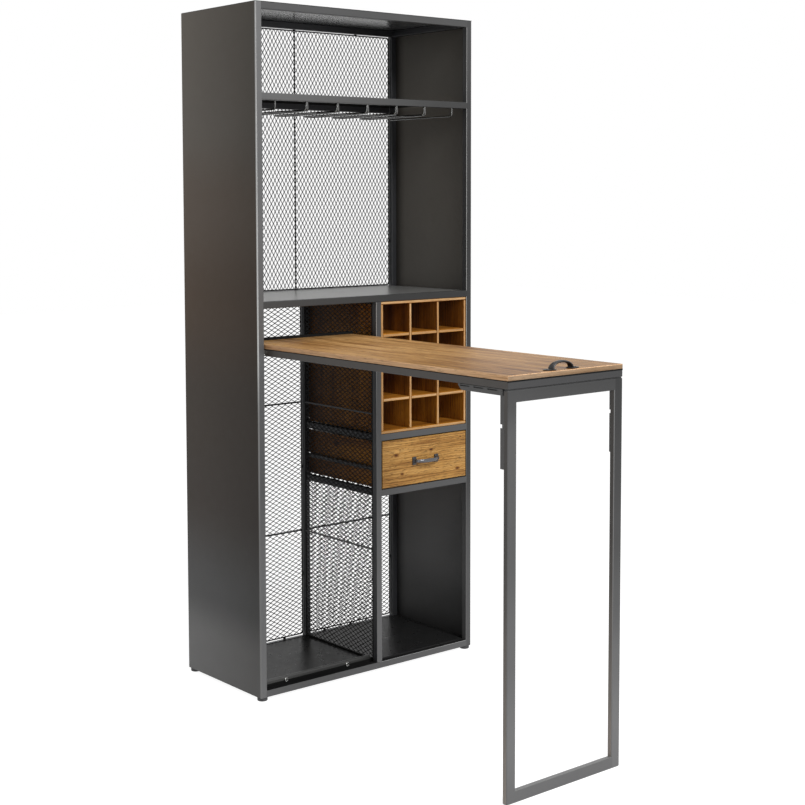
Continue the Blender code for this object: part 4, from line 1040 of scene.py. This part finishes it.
# Handle: an arch that widens to two feet with round ends and screws
GRIP_FOOT = 0.028
GRIP_SPAN = 0.068
GRIP_STEPS = 40
GRIP_HALF = 0.0032
GRIP_ROOT = 0.0012
GRIP_POWER = 0.85
GRIP_SECTION = ((0.0032, 0.0006, 4), (0.0078, 0.0022, 5))
FOOT_ROUND = 0.01
FOOT_STEPS = 8
FOOT_LAP = 0.002
FOOT_HEIGHT = 0.0025
SCREW = ((0.0036, 0), (0.0036, 0.0005), (0.003, 0.0011), (0.0016, 0.0014), (0.0003, 0.00145))
SCREW_INSET = 0.0085
SCREW_SEAT = 0.0024
a, b = span("leaf_handle")
centre = (a.x + b.x) / 2
middle = (a.y + b.y) / 2
half_x, half_y = (b.x - a.x) / 2, (b.y - a.y) / 2
base = a.z + GRIP_ROOT
shape = Shape()
path, sizes = [], []
for k in range(GRIP_STEPS + 1):
    t = math.pi * k / GRIP_STEPS
    flat = abs(math.cos(t))
    rise = (b.z - GRIP_HALF - a.z - GRIP_ROOT) * math.sin(t) ** GRIP_POWER
    path.append(Vector((centre - GRIP_SPAN / 2 * math.cos(t), middle, base + rise)))
    sizes.append(tuple(size + more * flat ** power for size, more, power in GRIP_SECTION))
wire(shape, path, sizes, (0, 1, 0), 18)
for side in (-1, 1):
    tip = centre + side * (half_x - FOOT_ROUND)
    inner = centre + side * (half_x - GRIP_FOOT - FOOT_LAP)
    points = []
    for k in range(FOOT_STEPS + 1):
        angle = math.pi * (k / FOOT_STEPS - 0.5)
        points.append((tip + side * math.cos(angle) * FOOT_ROUND, middle + math.sin(angle) * half_y))
    points += [(inner, middle + half_y), (inner, middle - half_y)]
    prism(shape, points, "z", a.z, a.z + FOOT_HEIGHT, TRIM_EASE)
    turned(shape, SCREW, (centre + side * (half_x - SCREW_INSET), middle, a.z + SCREW_SEAT), UP, 20, 1)
publish("leaf_handle_arch", shape, [bronze, dark], "leaf", ["leaf_handle"])

# Leg frame, with painted light and shade on its tubes, its far upright a darker copy painted as shade, and a
# painted highlight line on the near corner of its far upright and on its bottom bar
LEG_FACE = 0.03
LEG_FOOT_BAR = 0.03
LEG_PAD_SIDE = 0.002
LEG_PAD_FRONT = 0.003
LEG_PAD_SUNK = 0.0002
a, b = span("leg_frame")
shape = Shape()
for x, slot in ((a.x, 0), (b.x - LEG_FACE, 2)):
    bar(shape, (x, a.y, a.z), (x + LEG_FACE, b.y, b.z), LEG_RADIUS, None, 4, slot)
by_side(shape, len(shape.faces) // 2, [(LEFT_CORNER, 5)])
for z0, z1, slot in ((b.z - LEG_FACE, b.z, 3), (a.z, a.z + LEG_FOOT_BAR, 0)):
    first = len(shape.faces)
    bar(shape, (a.x + LEG_FACE - LEG_RADIUS, a.y, z0), (b.x - LEG_FACE + LEG_RADIUS, b.y, z1), LEG_RADIUS,
        "x", 4, slot)
by_side(shape, first, [(UP, 4), (FRONT_ARRIS, 4)])
by_side(shape, 0, [(LEFTWARD, 1)])
publish("leg_frame_tubes", shape, [leg, flank, leg_far_shade, leg_head, leg_sill_highlight, leg_highlight_line], "leg", ["leg_frame"])
shape = Shape()
bar(shape, (a.x + LEG_PAD_SIDE, a.y + LEG_PAD_FRONT, b.z - LEG_PAD_SUNK),
    (b.x - LEG_PAD_SIDE, b.y - LEG_PAD_SIDE, low("leaf_frame").z - GAP), SHEET_EASE, "x", 2)
publish("leg_top_pad", shape, [rubber], "leg", [])

# Folding brackets: the CAD sheets with eased edges, dark sheets behind the slots painted as the shade in the
# channel, and rivet heads
ARM_SHEET = 0.002
SLOT_SHADE_SHEET = 0.0003
SLOT_SHADE_FRONT = 0.02
SLOT_SHADE_REAR = 0.006
SLOT_SHADE_DEPTH = 0.0072
HINGE_INSET = 0.0045
RIVET = ((0.0046, -0.0004), (0.0046, 0.0003), (0.0038, 0.0009), (0.002, 0.0013), (0.0003, 0.0014))


def eased(name):
    """A shape from a CAD node, with its sharp edges eased."""
    shape = Shape()
    mesh = bmesh.new()
    mesh.from_mesh(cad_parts[name].data)
    bmesh.ops.dissolve_limit(mesh, angle_limit=0.01, verts=mesh.verts, edges=mesh.edges)
    ease(mesh, sharp_edges(mesh, 50), FINE_EASE)
    shape.take(mesh)
    return shape


for side in ("left", "right"):
    arm = "bracket_arm_" + side
    strut = "bracket_strut_" + side
    a, b = span(arm)
    shape = eased(arm)
    for x in (a.x + ARM_SHEET, b.x - ARM_SHEET - SLOT_SHADE_SHEET):
        bar(shape, (x, a.y + SLOT_SHADE_FRONT, b.z - SLOT_SHADE_DEPTH), (x + SLOT_SHADE_SHEET, b.y - SLOT_SHADE_REAR, b.z - ARM_SHEET),
            HAIR, "y", 1, 1)
    hinge = (high(strut).y - HINGE_INSET, high(strut).z - HINGE_INSET)
    for outer, way in ((a.x, -1), (b.x, 1)):
        turned(shape, RIVET, (outer, *hinge), (way, 0, 0), 20)
    publish(arm + "_channel", shape, [clip, hollow_shade], "leaf", [arm], crease=35)
    publish(strut + "_channel", eased(strut), [clip], "leg", [strut], crease=35)

# Floor, light and camera
FLOOR_HALF = 14.0
FLOOR_Z = -0.0004
FLOOR_TONES = (0.8, 0.84)
FLOOR_SHOWN = 0.3
FLOOR_GLOW = 0.93
AMBIENT = 0.3
# Name, place, target, size and power of each lamp
LAMPS = (("key", (-0.1, -4.4, 4.5), (0.0, 0.1, 1.0), (2.2, 2.2), 300.0),
         ("top", (-0.4, -0.8, 4.8), (0.0, -0.1, 1.0), (2.4, 2.4), 50.0),
         ("edge", (-2.9, -3.6, 2.6), (-0.2, 0.2, 1.1), (0.4, 1.8), 26.0))


def studio_mix(tree, quiet, shown):
    """The second shader where the camera, a reflection or a clear surface looks; else the first."""
    path = node(tree, "ShaderNodeLightPath")
    seen = maths(tree, "MAXIMUM", path.outputs["Is Camera Ray"], path.outputs["Is Glossy Ray"])
    seen = maths(tree, "MAXIMUM", seen, path.outputs["Is Transmission Ray"])
    return node(tree, "ShaderNodeMixShader", {0: seen, 1: quiet, 2: shown}).outputs[0]


floor_data = bpy.data.meshes.new("floor")
ground = [(x, y, FLOOR_Z) for x, y in quad(0.0, 0.0, FLOOR_HALF, FLOOR_HALF)]
floor_data.from_pydata(ground, [], [(0, 1, 2, 3)])
floor = placed("floor", floor_data)
floor_look = bpy.data.materials.new("pale_floor")
floor_look.use_nodes = True
tree = floor_look.node_tree
tree.nodes.clear()
place = node(tree, "ShaderNodeTexCoord").outputs["Object"]
paper = ramp(tree, noise(tree, place, 3.0, 3.0), list(zip((0.3, 0.7), FLOOR_TONES)))
bounce = node(tree, "ShaderNodeBsdfDiffuse", {"Color": paper})
soft = node(tree, "ShaderNodeBsdfDiffuse", {"Color": (*rgb(FLOOR_SHOWN), 1.0)})
glow = node(tree, "ShaderNodeEmission", {"Color": WHITE, "Strength": FLOOR_GLOW})
shown = node(tree, "ShaderNodeAddShader", {0: soft.outputs[0], 1: glow.outputs[0]})
mixed = studio_mix(tree, bounce.outputs[0], shown.outputs[0])
node(tree, "ShaderNodeOutputMaterial", {"Surface": mixed})
floor_data.materials.append(floor_look)

world = bpy.data.worlds.new("studio")
bpy.context.scene.world = world
world.use_nodes = True
tree = world.node_tree
tree.nodes.clear()
ambient = node(tree, "ShaderNodeBackground", {"Color": WHITE, "Strength": AMBIENT})
paper = node(tree, "ShaderNodeBackground", {"Color": WHITE, "Strength": 1.0})
node(tree, "ShaderNodeOutputWorld", {"Surface": studio_mix(tree, ambient.outputs[0], paper.outputs[0])})

for name, place, target, size, power in LAMPS:
    data = bpy.data.lights.new(name, "AREA")
    data.shape = "RECTANGLE"
    data.size, data.size_y = size
    data.energy = power
    lamp = placed(name, data)
    lamp.location = place
    lamp.rotation_euler = (Vector(target) - Vector(place)).to_track_quat("-Z", "Y").to_euler()

camera_data = bpy.data.cameras.new("camera")
camera_data.sensor_width = SENSOR
camera_data.lens = SENSOR * FOCAL_PIXELS / PHOTO_SIZE
camera_data.shift_x = (PHOTO_SIZE / 2 - PRINCIPAL_POINT[0]) / PHOTO_SIZE
camera_data.shift_y = (PRINCIPAL_POINT[1] - PHOTO_SIZE / 2) / PHOTO_SIZE
camera = placed("camera", camera_data)
camera.matrix_world = (Matrix.Translation(CAMERA_PLACE) @ Matrix.Rotation(-CAMERA_YAW, 4, "Z")
                       @ Matrix.Rotation(math.pi / 2 + CAMERA_PITCH, 4, "X")
                       @ Matrix.Rotation(CAMERA_ROLL, 4, "Z"))
bpy.context.scene.camera = camera
bpy.context.scene.view_settings.view_transform = "Standard"
